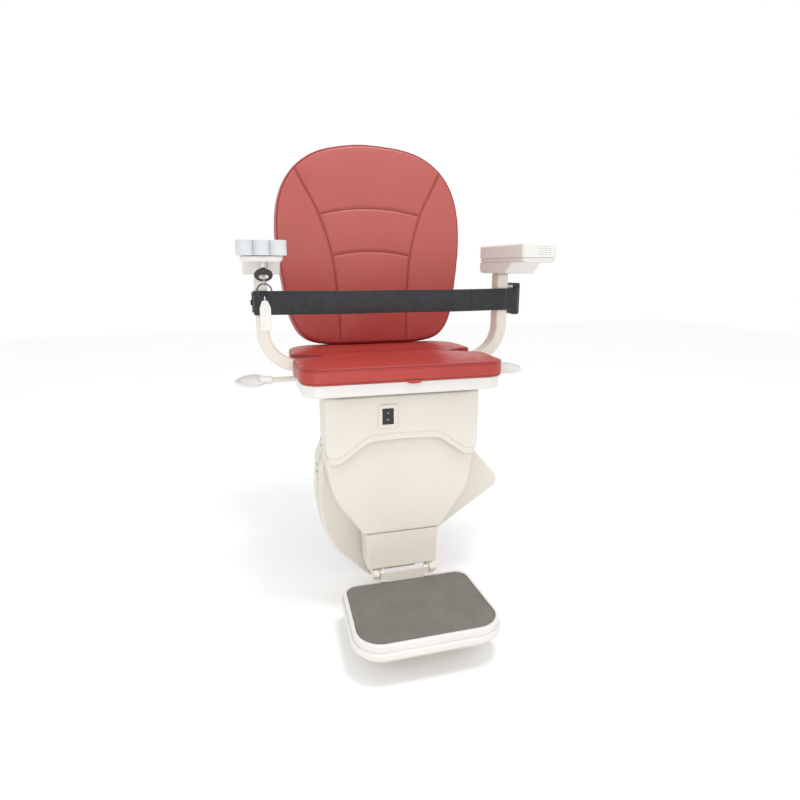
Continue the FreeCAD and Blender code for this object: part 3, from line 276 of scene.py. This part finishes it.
def leatherette(name, light, middle, dark, painted_light_heights=None):
    """Grained vinyl: small rounded cells, finer pores, slow colour drift and a soft coat.

    painted_light_heights are the two heights between which the colour lightens upwards: a painted sheen higher
    up and painted shade lower down."""
    shader = Shader(name, 0.42)
    tone_and_sheen = shader.noise(5.0, 6.0)
    if painted_light_heights:
        # painted sheen and shade: a ramp on height, added to the slow colour drift
        painted_light_ramp = shader.ranged(shader.height(), 0.25, 0.75, *painted_light_heights)
        tone_and_sheen = shader.summed(shader.ranged(tone_and_sheen, -0.15, 0.15), painted_light_ramp)
    shader.colour(tone_and_sheen, dark, middle, light, start=0.25, end=0.75)
    shader.rough(shader.noise(60.0, 4.0), 0.34, 0.52)
    shader.bump(shader.noise(90.0, 4.0), 0.28 * MM, 0.35)
    shader.bump(shader.cells(760.0, "SMOOTH_F1"), 0.16 * MM, 0.55)
    shader.bump(shader.noise(2600.0, 2.0), 0.04 * MM, 0.35)
    shader.set(Coat_Weight=0.16, Coat_Roughness=0.40, Specular_IOR_Level=0.45)
    return shader.material


def metal(name, light, dark, roughness, brush=(1, 1, 1)):
    """Bare metal with a fine grain, drawn out along one axis where it is brushed."""
    shader = Shader(name, roughness, 1.0)
    shader.colour(shader.noise(30.0, 5.0), dark, light)
    shader.rough(shader.noise(220.0, 4.0, brush), roughness - 0.08, roughness + 0.12)
    shader.rounded(0.5 * MM)
    shader.bump(shader.noise(900.0, 3.0, brush), 0.03 * MM, 0.5)
    return shader.material


def powder_coat(name, light, dark, roughness=0.45):
    """Baked paint with a fine pimpled skin."""
    shader = Shader(name, roughness)
    shader.colour(shader.noise(9.0, 5.0), dark, light)
    shader.rough(shader.noise(35.0, 5.0), roughness - 0.05, roughness + 0.10)
    shader.rounded(0.9 * MM)
    shader.bump(shader.cells(1300.0), 0.05 * MM, 0.5)
    return shader.material


def mat_rubber():
    """Pebbled anti-slip sheet with pale scuffs where shoes rub."""
    shader = Shader("grey_mat_rubber", 0.78)
    cloud = shader.ranged(shader.noise(22.0, 12.0), 0.0, 0.45)
    speck = shader.ranged(shader.noise(520.0, 3.0), 0.0, 0.55)
    shader.colour(shader.summed(cloud, speck), (0.148, 0.132, 0.120), (0.170, 0.153, 0.140),
                  (0.192, 0.175, 0.161), start=0.1, end=0.9)
    shader.rough(shader.noise(50.0, 5.0), 0.66, 0.88)
    shader.rounded(0.6 * MM)
    shader.bump(shader.cells(430.0, "SMOOTH_F1"), 0.35 * MM, 0.8)
    shader.bump(shader.noise(1500.0, 3.0), 0.08 * MM, 0.6)
    return shader.material


def webbing_weave(name, light, dark):
    """Woven polyester: fine ribs across the strap and a diagonal twill over them."""
    shader = Shader(name, 0.55)
    shader.colour(shader.noise(26.0, 5.0), dark, light)
    shader.rough(shader.noise(80.0, 4.0), 0.42, 0.66)
    shader.bump(shader.waves(260.0, "X"), 0.20 * MM, 0.6)
    shader.bump(shader.waves(300.0, "DIAGONAL", 0.6), 0.16 * MM, 0.55)
    shader.bump(shader.noise(1800.0, 2.0), 0.05 * MM, 0.5)
    shader.set(Sheen_Weight=0.35, Sheen_Roughness=0.4)
    return shader.material


def thread(name, light, dark):
    """Twisted sewing thread."""
    shader = Shader(name, 0.6)
    shader.colour(shader.noise(400.0, 3.0), dark, light)
    shader.bump(shader.waves(900.0, "DIAGONAL"), 0.08 * MM, 0.7)
    return shader.material


def printed_board(name):
    """A green board with the relief of small components."""
    shader = Shader(name, 0.45)
    shader.colour(shader.cells(160.0), (0.02, 0.10, 0.045), (0.04, 0.20, 0.09), start=0.2, end=0.4)
    shader.bump(shader.cells(220.0), 0.1 * MM, 0.6)
    return shader.material


MATERIALS = {
    "ivory_cover": moulded_plastic("ivory_cover", (0.695, 0.655, 0.585), (0.665, 0.624, 0.555), 0.40),
    "white_shell": moulded_plastic("white_shell", (0.72, 0.705, 0.675), (0.69, 0.675, 0.645), 0.36),
    "black_plastic": moulded_plastic("black_plastic", (0.020, 0.020, 0.023), (0.012, 0.012, 0.014), 0.42),
    "grey_toggle": moulded_plastic("grey_toggle", (0.61, 0.63, 0.65), (0.55, 0.57, 0.59), 0.34),
    "red_leatherette": leatherette("red_leatherette", (0.415, 0.042, 0.031), (0.385, 0.036, 0.027),
                                   (0.345, 0.030, 0.024)),
    # backrest vinyl: paler upwards, a painted sheen on the upper back and painted shade below the belt
    "leatherette_painted_sheen": leatherette("leatherette_painted_sheen", (0.395, 0.080, 0.067), (0.385, 0.063, 0.053),
                                     (0.360, 0.027, 0.021), (0.36, 0.62)),
    # piping and welts darker than the cover: partly their own red, partly painted shade of the seam grooves
    "piping_red": leatherette("piping_red", (0.275, 0.011, 0.013), (0.240, 0.009, 0.011),
                              (0.205, 0.007, 0.009)),
    "seam_thread": thread("seam_thread", (0.40, 0.045, 0.040), (0.30, 0.026, 0.024)),
    "grey_mat": mat_rubber(),
    "roller_polymer": moulded_plastic("roller_polymer", (0.060, 0.060, 0.065), (0.040, 0.040, 0.044), 0.55),
    "belt_fabric": webbing_weave("belt_fabric", (0.013, 0.013, 0.019), (0.008, 0.008, 0.012)),
    "belt_thread": thread("belt_thread", (0.040, 0.042, 0.055), (0.022, 0.024, 0.032)),
    "red_button": moulded_plastic("red_button", (0.60, 0.020, 0.020), (0.48, 0.014, 0.014), 0.28),
    "frame_steel": powder_coat("frame_steel", (0.060, 0.060, 0.064), (0.040, 0.040, 0.043)),
    "cover_paint": powder_coat("cover_paint", (0.715, 0.675, 0.605), (0.685, 0.644, 0.575), 0.40),
    "bright_steel": metal("bright_steel", (0.62, 0.62, 0.63), (0.50, 0.50, 0.52), 0.30, (1, 6, 1)),
    "aluminium_part": metal("aluminium_part", (0.62, 0.62, 0.63), (0.52, 0.52, 0.53), 0.45),
    "copper_contact": metal("copper_contact", (0.72, 0.40, 0.20), (0.55, 0.28, 0.14), 0.32),
    "battery_case": moulded_plastic("battery_case", (0.030, 0.030, 0.034), (0.020, 0.020, 0.022), 0.5),
    "board_green": printed_board("board_green"),
    "mark_white": moulded_plastic("mark_white", (0.80, 0.80, 0.80), (0.70, 0.70, 0.70), 0.5, 0.1 * MM),
}


def dress_nodes():
    """Every CAD node takes the node material of its slot in the record."""
    for part in frame["record"]["subparts"]:
        node = frame["nodes"][part["node"]]
        for material_slot in node.material_slots:
            material_slot.material = MATERIALS[part["material_slot"]]


# ---- mesh helpers ----

def linked(name, data):
    """A new object in the scene."""
    made = bpy.data.objects.new(name, data)
    bpy.context.scene.collection.objects.link(made)
    return made


def finish_surface(mesh, material):
    mesh.materials.clear()
    mesh.materials.append(MATERIALS[material])
    for polygon in mesh.polygons:
        polygon.use_smooth = True


def piece(name, verts, faces, material, body, slot=None):
    """A smooth visual piece that rides on a body."""
    mesh = bpy.data.meshes.new(name)
    mesh.from_pydata([tuple(v) for v in verts], [], faces)
    mesh.update()
    made = linked(name, mesh)
    finish_surface(mesh, material)
    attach(made, body)
    return made


def resampled(points, step, closed=False):
    """Points at even spacing along a polyline."""
    line = [Vector(p) for p in points]
    if closed:
        line.append(line[0])
    lengths = [0.0]
    for a, b in zip(line, line[1:]):
        lengths.append(lengths[-1] + (b - a).length)
    count = max(2, round(lengths[-1] / step))
    made = []
    segment = 0
    for i in range(count if closed else count + 1):
        along = lengths[-1] * i / count
        while segment < len(line) - 2 and lengths[segment + 1] < along:
            segment += 1
        span = max(lengths[segment + 1] - lengths[segment], 1e-9)
        made.append(line[segment].lerp(line[segment + 1], (along - lengths[segment]) / span))
    return made


def smoothed(points, step):
    """An open Catmull-Rom curve through the points, at even spacing."""
    line = [Vector(p) for p in points]
    line = [line[0] * 2 - line[1]] + line + [line[-1] * 2 - line[-2]]
    dense = []
    parts = 12
    for a, b, c, d in zip(line, line[1:], line[2:], line[3:]):
        for k in range(parts):
            t = k / parts
            dense.append(0.5 * (2 * b + (c - a) * t + (2 * a - 5 * b + 4 * c - d) * t * t
                                + (3 * b - a - 3 * c + d) * t * t * t))
    dense.append(line[-2])
    return resampled(dense, step)


def tube(path, radius, closed, sides=8):
    """Vertices and faces of a round cord along a path."""
    count = len(path)
    verts = []
    faces = []
    side = None
    for i, at in enumerate(path):
        before = path[i - 1] if closed or i else at
        after = path[(i + 1) % count] if closed or i < count - 1 else at
        ahead = (after - before).normalized()
        if side is None:
            side = ahead.orthogonal().normalized()
        side = (side - ahead * side.dot(ahead)).normalized()
        up = ahead.cross(side)
        for k in range(sides):
            angle = 2 * math.pi * k / sides
            verts.append(at + side * (radius * math.cos(angle)) + up * (radius * math.sin(angle)))
    for i in range(count if closed else count - 1):
        j = (i + 1) % count
        for k in range(sides):
            m = (k + 1) % sides
            faces.append((i * sides + k, i * sides + m, j * sides + m, j * sides + k))
    if not closed:
        faces.append(tuple(range(sides))[::-1])
        faces.append(tuple((count - 1) * sides + k for k in range(sides)))
    return verts, faces


def merged(parts):
    """One vertex and face list from several."""
    verts = []
    faces = []
    for part_verts, part_faces in parts:
        start = len(verts)
        verts.extend(part_verts)
        faces.extend(tuple(start + i for i in face) for face in part_faces)
    return verts, faces


def section(node, point, normal):
    """The closed outline where a plane cuts a CAD node, as ordered points."""
    cut = bmesh.new()
    cut.from_mesh(frame["nodes"][node].data)
    bmesh.ops.remove_doubles(cut, verts=cut.verts, dist=0.01 * MM)
    result = bmesh.ops.bisect_plane(cut, geom=cut.verts[:] + cut.edges[:] + cut.faces[:], plane_co=point,
                                    plane_no=normal)
    edges = [e for e in result["geom_cut"] if isinstance(e, bmesh.types.BMEdge)]
    links = {}
    for edge in edges:
        a, b = edge.verts
        links.setdefault(a, []).append(b)
        links.setdefault(b, []).append(a)
    loop = [edges[0].verts[0]]
    came_from = None
    while True:
        following = [v for v in links[loop[-1]] if v is not came_from]
        came_from = loop[-1]
        if not following or following[0] is loop[0]:
            break
        loop.append(following[0])
    points = [v.co.copy() for v in loop]
    cut.free()
    return points


def near(points):
    """A search tree over points."""
    tree = KDTree(len(points))
    for i, point in enumerate(points):
        tree.insert(point, i)
    tree.balance()
    return tree


def flat(point):
    return Vector((point[0], point[1], 0.0))


def turned_area(outline):
    """Positive where the outline runs anticlockwise, so that its inside is on the left."""
    return sum(a.x * b.y - b.x * a.y for a, b in zip(outline, outline[1:] + outline[:1])) / 2


# ---- padded pieces ----

class Pad:
    """A cushion worked in its own frame: x across, y along, z out of the face that shows."""

    def __init__(self, name, node, to_world, shrink, cap, outline_depth, sag=0.0):
        self.name = name
        self.node = node
        self.to_world = to_world
        self.to_pad = to_world.inverted()
        self.cap = cap
        source = [self.to_pad @ v.co for v in frame["nodes"][node].data.vertices]
        self.top = max(v.z for v in source)
        self.bottom = min(v.z for v in source)
        normal = self.to_world.to_3x3() @ Vector((0, 0, 1))
        plane = self.to_world @ Vector((0, 0, self.top - outline_depth))
        self.outline = [flat(self.to_pad @ p) for p in section(node, plane, normal)]
        self.outline = resampled(self.outline, LINE_STEP, closed=True)
        if turned_area(self.outline) < 0:
            self.outline.reverse()
        self.rim = near(self.outline)
        self.shrink = shrink
        self.sag = sag
        self.object = self.remeshed()

    def remeshed(self):
        """The CAD solid, slightly smaller, as an even skin of small faces."""
        mesh = frame["nodes"][self.node].data.copy()
        height = self.top - self.bottom
        foot = min(p.y for p in self.outline)
        length = max(p.y for p in self.outline) - foot
        for vertex in mesh.vertices:
            at = self.to_pad @ vertex.co
            at.y -= self.sag * (1 - (at.y - foot) / length)
            at.z = self.bottom + (at.z - self.bottom) * (height - self.shrink) / height
            vertex.co = at
        made = linked(self.name, mesh)
        weld = made.modifiers.new("Weld", "WELD")
        weld.merge_threshold = 0.01 * MM
        remesh = made.modifiers.new("Remesh", "REMESH")
        remesh.mode = "VOXEL"
        remesh.voxel_size = VOXEL
        smooth = made.modifiers.new("Smooth", "SMOOTH")
        smooth.iterations = 3
        bake(made)
        return made

    def pin(self, held):
        """Hold the vertices for which held(point) is true while the rest swells."""
        group = self.object.vertex_groups.new(name="pin")
        for vertex in self.object.data.vertices:
            if held(vertex.co):
                group.add([vertex.index], 1.0, "REPLACE")

    def start_cloth(self, pressure):
        self.rest = [v.co.copy() for v in self.object.data.vertices]
        cloth = self.object.modifiers.new("Cloth", "CLOTH")
        settings = cloth.settings
        settings.quality = 5
        settings.mass = 0.3
        settings.tension_stiffness = 12
        settings.compression_stiffness = 12
        settings.shear_stiffness = 5
        settings.bending_stiffness = 0.6
        settings.use_pressure = True
        settings.uniform_pressure_force = pressure
        settings.vertex_group_mass = "pin"
        settings.effector_weights.gravity = 0.0
        cloth.collision_settings.use_collision = False
        cloth.point_cache.frame_start = 1
        cloth.point_cache.frame_end = SIM_FRAMES

    def end_cloth(self):
        """Keep the swollen shape, with every point's travel capped."""
        bpy.context.view_layer.update()
        swollen = self.object.evaluated_get(bpy.context.evaluated_depsgraph_get()).data
        moved = [v.co.copy() for v in swollen.vertices]
        self.object.modifiers.clear()
        for vertex, start, end in zip(self.object.data.vertices, self.rest, moved):
            step = end - start
            if step.length > self.cap:
                step *= self.cap / step.length
            vertex.co = start + step

    def refine(self):
        self.object.modifiers.new("Subdivision", "SUBSURF").levels = 1
        bake(self.object)

    def shape(self, height_at):
        """Sculpt by moving each point along z by height_at(point)."""
        for vertex in self.object.data.vertices:
            vertex.co.z += height_at(vertex.co)

    def place(self, material, body):
        self.object.data.transform(self.to_world)
        self.object.vertex_groups.clear()
        finish_surface(self.object.data, material)
        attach(self.object, body)
        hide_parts(self.node)
        self.skin = BVHTree.FromObject(self.object, bpy.context.evaluated_depsgraph_get())

    def on_face(self, line, lift):
        """Points of a line in the pad's plane, dropped onto its face."""
        out = self.to_world.to_3x3() @ Vector((0, 0, 1))
        found = []
        for point in line:
            above = self.to_world @ Vector((point[0], point[1], self.top + 0.05))
            hit = self.skin.ray_cast(above, -out)[0]
            if hit is not None:
                found.append(hit + out * lift)
        return found

    def on_rim(self, depth, inset, lift):
        """The outline, moved in and set on the skin at a depth below the face."""
        found = []
        count = len(self.outline)
        for i, point in enumerate(self.outline):
            ahead = (self.outline[(i + 3) % count] - self.outline[i - 3]).normalized()
            aim = point + Vector((-ahead.y, ahead.x, 0)) * inset
            target = self.to_world @ Vector((aim.x, aim.y, self.top - depth))
            hit, normal, _, _ = self.skin.find_nearest(target)
            found.append(hit + normal * lift)
        return found


def bake(target):
    """Apply all modifiers to the mesh."""
    graph = bpy.context.evaluated_depsgraph_get()
    graph.update()
    mesh = bpy.data.meshes.new_from_object(target.evaluated_get(graph))
    target.modifiers.clear()
    target.data = mesh


def bump_at(distance, width):
    """A smooth hill of height 1 at distance 0."""
    return math.exp(-(distance / width) ** 2)


def seat_frame():
    """The seat pad's frame is the world's, because its face looks up."""
    return Matrix.Identity(4)


def back_frame():
    """Pad x is the world's x, pad y runs up the backrest, and pad z comes out of its front."""
    low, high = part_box("backrest_cushion")
    foot = Vector((0, low.y, low.z))
    turn = Matrix.Rotation(-BACK_TILT, 4, "X") @ Matrix.Rotation(math.radians(90), 4, "X")
    return Matrix.Translation(foot) @ turn


def backrest_lines(pad):
    """The sewn lines of the backrest in its pad frame: two long side seams and two bowed cross seams."""
    half = max(p.x for p in pad.outline)
    low = min(p.y for p in pad.outline)
    height = max(p.y for p in pad.outline) - low

    def drawn(fractions, side=1):
        return smoothed([(u * half * side, low + v * height, 0) for u, v in fractions], LINE_STEP)

    return [drawn(SIDE_SEAM), drawn(SIDE_SEAM, -1), drawn(UPPER_SEAM), drawn(LOWER_SEAM)]


def seat_creases(pad):
    """Soft folds that run from the two side notches towards the front and the middle of the seat."""
    low_y = min(p.y for p in pad.outline)
    folds = []
    for side in (-1, 1):
        tip = Vector((side * NOTCH_TIP[0], NOTCH_TIP[1], 0))
        for x, y, depth in NOTCH_FOLDS:
            end = Vector((side * x, y, 0))
            bend = (tip + end) / 2 + Vector((0, FOLD_BOW, 0))
            folds.append((near(smoothed([tip, bend, end], LINE_STEP)), depth))
        corner, inner = (Vector((side * x, low_y + y, 0)) for x, y in CORNER_FOLD)
        middle = (corner + inner) / 2
        folds.append((near(smoothed([corner, middle, inner], LINE_STEP)), CORNER_FOLD_DEPTH))
    return folds


def stitches(pad, line, side):
    """Short threads beside a sewn line."""
    parts = []
    path = resampled(line, 1.0 * MM)
    pitch = round((STITCH_L + STITCH_GAP) / MM)
    run = round(STITCH_L / MM)
    for start in range(2, len(path) - run - 2, pitch):
        a = path[start]
        b = path[start + run]
        ahead = (b - a).normalized()
        aside = Vector((-ahead.y, ahead.x, 0)) * STITCH_OFFSET * side
        ends = pad.on_face([a + aside, (a + b) / 2 + aside, b + aside], STITCH_LIFT)
        if len(ends) == 3:
            parts.append(tube(ends, STITCH_R, closed=False, sides=5))
    return merged(parts)


def make_pads():
    seat = Pad("seat_cushion_cover", "seat_cushion", seat_frame(), SEAT_SHRINK, SEAT_CAP, 6 * MM)
    back = Pad("backrest_cover", "backrest_cushion", back_frame(), BACK_SHRINK, BACK_CAP, 13 * MM,
               BACK_SAG)
    seams = backrest_lines(back)
    seam_tree = near([p for line in seams for p in line])
    seat.pin(lambda p: p.z < seat.bottom + SEAT_FOOT_HELD or
             (p.z > seat.top - SEAT_RIM_HELD and seat.rim.find(flat(p))[2] < PIN_BAND * 0.6))
    back.pin(lambda p: p.z < back.bottom + BACK_FOOT_HELD or
             (p.z > back.top - BACK_RIM_HELD and back.rim.find(flat(p))[2] < PIN_BAND) or
             (p.z > back.top - BACK_SEAM_HELD and seam_tree.find(flat(p))[2] < SEAM_BAND))
    seat.start_cloth(SEAT_PRESSURE)
    back.start_cloth(BACK_PRESSURE)
    for step in range(1, SIM_FRAMES + 1):
        bpy.context.scene.frame_set(step)
    seat.end_cloth()
    back.end_cloth()
    bpy.context.scene.frame_set(1)
    seat.refine()
    back.refine()
    folds = seat_creases(seat)

    def seat_height(p):
        if p.z < seat.top - SEAT_SCULPT_DEPTH:
            return 0.0
        change = SEAT_WAVE * noise.noise(Vector((p.x * 14, p.y * 14, 3.0)))
        for fold, depth in folds:
            change -= depth * bump_at(fold.find(flat(p))[2], SEAT_CREASE_W)
        return change * min(1.0, seat.rim.find(flat(p))[2] / SEAT_FADE)

    def back_height(p):
        if p.z < back.top - BACK_SCULPT_DEPTH:
            return 0.0
        change = BACK_WAVE * noise.noise(Vector((p.x * 11, p.y * 11, 7.0)))
        change -= BACK_CREASE_DEPTH * bump_at(seam_tree.find(flat(p))[2], BACK_CREASE_W)
        return change * min(1.0, back.rim.find(flat(p))[2] / BACK_FADE)

    seat.shape(seat_height)
    back.shape(back_height)
    seat.place("red_leatherette", "seat")
    # the backrest takes the vinyl with painted sheen and shade
    back.place("leatherette_painted_sheen", "seat")
    return seat, back, seams


def trim_pads(seat, back, seams):
    """Piping round both pads, a thin dark cord low on the seat as a painted shadow line, a welt along every
    sewn line, and the top stitching beside them.
    """
    for name, pad, depth, inset, radius, lift in (
            ("seat_piping_upper", seat, 4.5 * MM, 0.0, PIPING_R, 0.1 * MM),
            ("seat_seam_upper", seat, 9.5 * MM, -0.5 * MM, WELT_R, -0.4 * MM),
            # a thin dark cord low on the seat's side: a painted shadow line along the cushion's lower edge
            ("seat_lower_shadow_cord", seat, 34 * MM, -0.5 * MM, WELT_R, 0.0),
            ("backrest_piping", back, 8 * MM, 4 * MM, PIPING_R, 0.2 * MM),
            ("backrest_boxing_seam", back, 38 * MM, -0.5 * MM, WELT_R, 0.0)):
        path = resampled(pad.on_rim(depth, inset, lift), 3 * MM, closed=True)
        piece(name, *tube(path, radius, closed=True, sides=10), "piping_red", "seat", "red_leatherette")
    welts = [tube(back.on_face(line[2:-2], WELT_LIFT), FACE_WELT_R, closed=False) for line in seams]
    piece("backrest_seam_welts", *merged(welts), "piping_red", "seat", "red_leatherette")
    rows = []
    for index, line in enumerate(seams):
        sides = (-1, 1) if index < 2 else (1,)
        for side in sides:
            rows.append(stitches(back, line, side))
    piece("backrest_stitches", *merged(rows), "seam_thread", "seat", "red_leatherette")


def make_seat_tab(seat):
    """A small stitched tab under the middle of the seat's front edge."""
    front = min(p.y for p in seat.outline)
    rows = 10
    columns = 8
    half_w = 17 * MM
    middle_x = 12 * MM
    top_z = seat.bottom + 3.5 * MM
    verts = []
    for thick in (0.0, 1.6 * MM):
        for i in range(rows + 1):
            for j in range(columns + 1):
                u = 2 * i / rows - 1
                v = j / columns
                drop = 6.5 * MM * math.sqrt(max(0.0, 1 - u ** 4)) * v
                swell = 1.2 * MM * math.sin(math.pi * v)
                verts.append(Vector((middle_x + half_w * u, front - thick - swell, top_z - drop)))
    row = columns + 1
    side = (rows + 1) * row
    faces = []
    for i in range(rows):
        for j in range(columns):
            a = i * row + j
            faces.append((a, a + 1, a + row + 1, a + row))
            faces.append((side + a, side + a + row, side + a + row + 1, side + a + 1))
    rim = [j for j in range(row)] + [i * row + columns for i in range(1, rows + 1)]
    rim += [rows * row + j for j in range(columns - 1, -1, -1)] + [i * row for i in range(rows - 1, 0, -1)]
    for a, b in zip(rim, rim[1:] + rim[:1]):
        faces.append((a, side + a, side + b, b))
    piece("seat_front_tab", verts, faces, "red_leatherette", "seat", "red_leatherette")


def ribbon(path, width, thickness):
    """A flat strap with rounded selvedges that stands on edge along a level path."""
    edges = 4
    ring = []
    half = width / 2
    deep = thickness / 2
    for k in range(edges + 1):
        angle = math.pi * k / edges
        ring.append((deep * math.cos(angle), half - deep + deep * math.sin(angle)))
    for k in range(edges + 1):
        angle = math.pi + math.pi * k / edges
        ring.append((deep * math.cos(angle), -half + deep + deep * math.sin(angle)))
    verts = []
    faces = []
    count = len(path)
    for i, at in enumerate(path):
        ahead = path[min(i + 1, count - 1)] - path[max(i - 1, 0)]
        ahead.z = 0
        ahead.normalize()
        out = Vector((ahead.y, -ahead.x, 0))
        for depth, up in ring:
            verts.append(at + out * depth + Vector((0, 0, up)))
    sides = len(ring)
    for i in range(count - 1):
        for k in range(sides):
            m = (k + 1) % sides
            faces.append((i * sides + k, (i + 1) * sides + k, (i + 1) * sides + m, i * sides + m))
    faces.append(tuple(range(sides)))
    faces.append(tuple((count - 1) * sides + k for k in range(sides))[::-1])
    return verts, faces


def make_belt():
    """The lap belt: one strap with a doubled, box-stitched length near the buckle."""
    low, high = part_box("belt_webbing")
    middle_z = (low.z + high.z) / 2
    width = high.z - low.z
    front = low.y + STRAP_T / 2
    left = low.x + STRAP_T / 2
    right = high.x - STRAP_T / 2
    left_end = high.y - 0.5 * MM
    span = right - left
    bends = [math.radians(d) for d in range(0, 91, 15)]
    route = [(left, y) for y in (left_end, low.y + 30 * MM, low.y + 15 * MM)]
    route += [(left + STRAP_BEND_R * (1 - math.cos(a)), front + STRAP_BEND_R * (1 - math.sin(a)))
              for a in bends]
    route += [(left + STRAP_BEND_R + (span - 2 * STRAP_BEND_R) * k / STRAP_STEPS, front)
              for k in range(1, STRAP_STEPS)]
    route += [(right - STRAP_BEND_R * (1 - math.sin(a)), front + STRAP_BEND_R * (1 - math.cos(a)))
              for a in bends]
    route += [(right, low.y + STRAP_END_Y - y) for y in (8 * MM, 4 * MM, 0)]

    def settled(x, y):
        """A little slack: the strap dips and bows between the two uprights."""
        across = min(max((x - left) / span, 0.0), 1.0)
        slack = math.sin(math.pi * across)
        bow = 0.6 * MM * slack * math.sin(x * 31)
        dip = -1.2 * MM * slack + 0.4 * MM * slack * math.sin(x * 23 + 1)
        return Vector((x, y + bow, middle_z + dip))

    path = [settled(x, y) for x, y in route]
    strap = piece("lap_belt", *ribbon(path, width - 0.4 * MM, STRAP_T), "belt_fabric", "seat", "belt_fabric")
    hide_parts("belt_webbing")
    start, end = DOUBLED_X
    doubled = [settled(start + (end - start) * k / DOUBLED_STEPS, front) + Vector((0, -STRAP_T, 0))
               for k in range(DOUBLED_STEPS + 1)]
    piece("lap_belt_doubled", *ribbon(doubled, width - 2.5 * MM, STRAP_T), "belt_fabric", "seat",
          "belt_fabric")
    rows = []
    face = -STRAP_T * 1.5 - 0.1 * MM
    top = width / 2 - BOX_MARGIN
    corners = [(BOX_X[0], -top), (BOX_X[0], top), (BOX_X[1], top), (BOX_X[1], -top)]
    lines = list(zip(corners, corners[1:] + corners[:1]))
    lines += [(corners[0], corners[2]), (corners[1], corners[3])]
    for (x0, z0), (x1, z1) in lines:
        count = int(math.hypot(x1 - x0, z1 - z0) / BOX_PITCH)
        for k in range(count):
            ends = []
            for t in ((k + 0.12) / count, (k + 0.82) / count):
                at = settled(x0 + (x1 - x0) * t, front)
                ends.append(at + Vector((0, face, z0 + (z1 - z0) * t)))
            stitch = [ends[0], (ends[0] + ends[1]) / 2, ends[1]]
            rows.append(tube(stitch, BOX_THREAD_R, closed=False, sides=5))
    piece("lap_belt_stitches", *merged(rows), "belt_thread", "seat", "belt_fabric")


def slab(low, high):
    """Vertices and faces of one small block, for raised marks."""
    corners = [(x, y, z) for x in (low[0], high[0]) for y in (low[1], high[1]) for z in (low[2], high[2])]
    faces = [(0, 1, 3, 2), (4, 6, 7, 5), (0, 4, 5, 1), (2, 3, 7, 6), (0, 2, 6, 4), (1, 5, 7, 3)]
    return [Vector(c) for c in corners], faces


def make_rocker_marks():
    """A raised bar and a raised ring on the power rocker, for on and off."""
    low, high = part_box("power_rocker")
    middle = (low + high) / 2
    lean = math.radians(12)
    parts = []
    for side in (1, -1):
        centre = Vector((middle.x, low.y + 1.9 * MM, middle.z + side * 8.5 * MM))
        turn = Matrix.Translation(centre) @ Matrix.Rotation(-side * lean, 4, "X")
        if side > 0:
            verts, faces = slab((-0.6 * MM, -0.5 * MM, -2.6 * MM), (0.6 * MM, 0.5 * MM, 2.6 * MM))
        else:
            circle = [Vector((2.3 * MM * math.cos(a), 0, 2.3 * MM * math.sin(a)))
                      for a in (2 * math.pi * k / 24 for k in range(24))]
            verts, faces = tube(circle, 0.45 * MM, closed=True, sides=6)
        parts.append(([turn @ v for v in verts], faces))
    piece("rocker_marks", *merged(parts), "mark_white", "rocker")


# ---- floor, light and camera ----

def make_stage():
    floor_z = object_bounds()[0].z - FLOOR_DROP
    corners = [(-FLOOR_REACH, -FLOOR_REACH, floor_z), (FLOOR_REACH, -FLOOR_REACH, floor_z),
               (FLOOR_REACH, FLOOR_REACH, floor_z), (-FLOOR_REACH, FLOOR_REACH, floor_z)]
    mesh = bpy.data.meshes.new("floor")
    mesh.from_pydata(corners, [], [(0, 1, 2, 3)])
    floor = linked("floor", mesh)
    shader = Shader("floor_pale", 0.7)
    shader.colour(shader.noise(3.0, 3.0), (0.955, 0.955, 0.955), (0.97, 0.97, 0.97))
    mesh.materials.append(shader.material)


def area_light(name, at, aim, size, power, tint):
    data = bpy.data.lights.new(name, "AREA")
    data.shape = "RECTANGLE"
    data.size, data.size_y = size
    data.energy = power
    data.color = tint
    light = linked(name, data)
    light.location = at
    light.rotation_euler = (Vector(aim) - Vector(at)).to_track_quat("-Z", "Y").to_euler()


def make_light():
    world = bpy.data.worlds.new("studio")
    bpy.context.scene.world = world
    world.use_nodes = True
    back = world.node_tree.nodes["Background"]
    back.inputs["Color"].default_value = (1.0, 1.0, 1.0, 1.0)
    back.inputs["Strength"].default_value = 1.0
    for settings in LIGHTS:
        area_light(*settings)


def make_camera():
    data = bpy.data.cameras.new("camera")
    data.lens = CAMERA_LENS
    data.sensor_width = CAMERA_SENSOR
    camera = linked("camera", data)
    camera.location = CAMERA_AT
    camera.rotation_euler = (math.radians(90 - CAMERA_PITCH), 0, math.radians(CAMERA_TURN))
    bpy.context.scene.camera = camera
    bpy.context.scene.view_settings.view_transform = "Standard"


make_camera()
dress_nodes()
seat_pad, back_pad, back_seams = make_pads()
trim_pads(seat_pad, back_pad, back_seams)
make_seat_tab(seat_pad)
make_belt()
make_rocker_marks()
make_stage()
make_light()
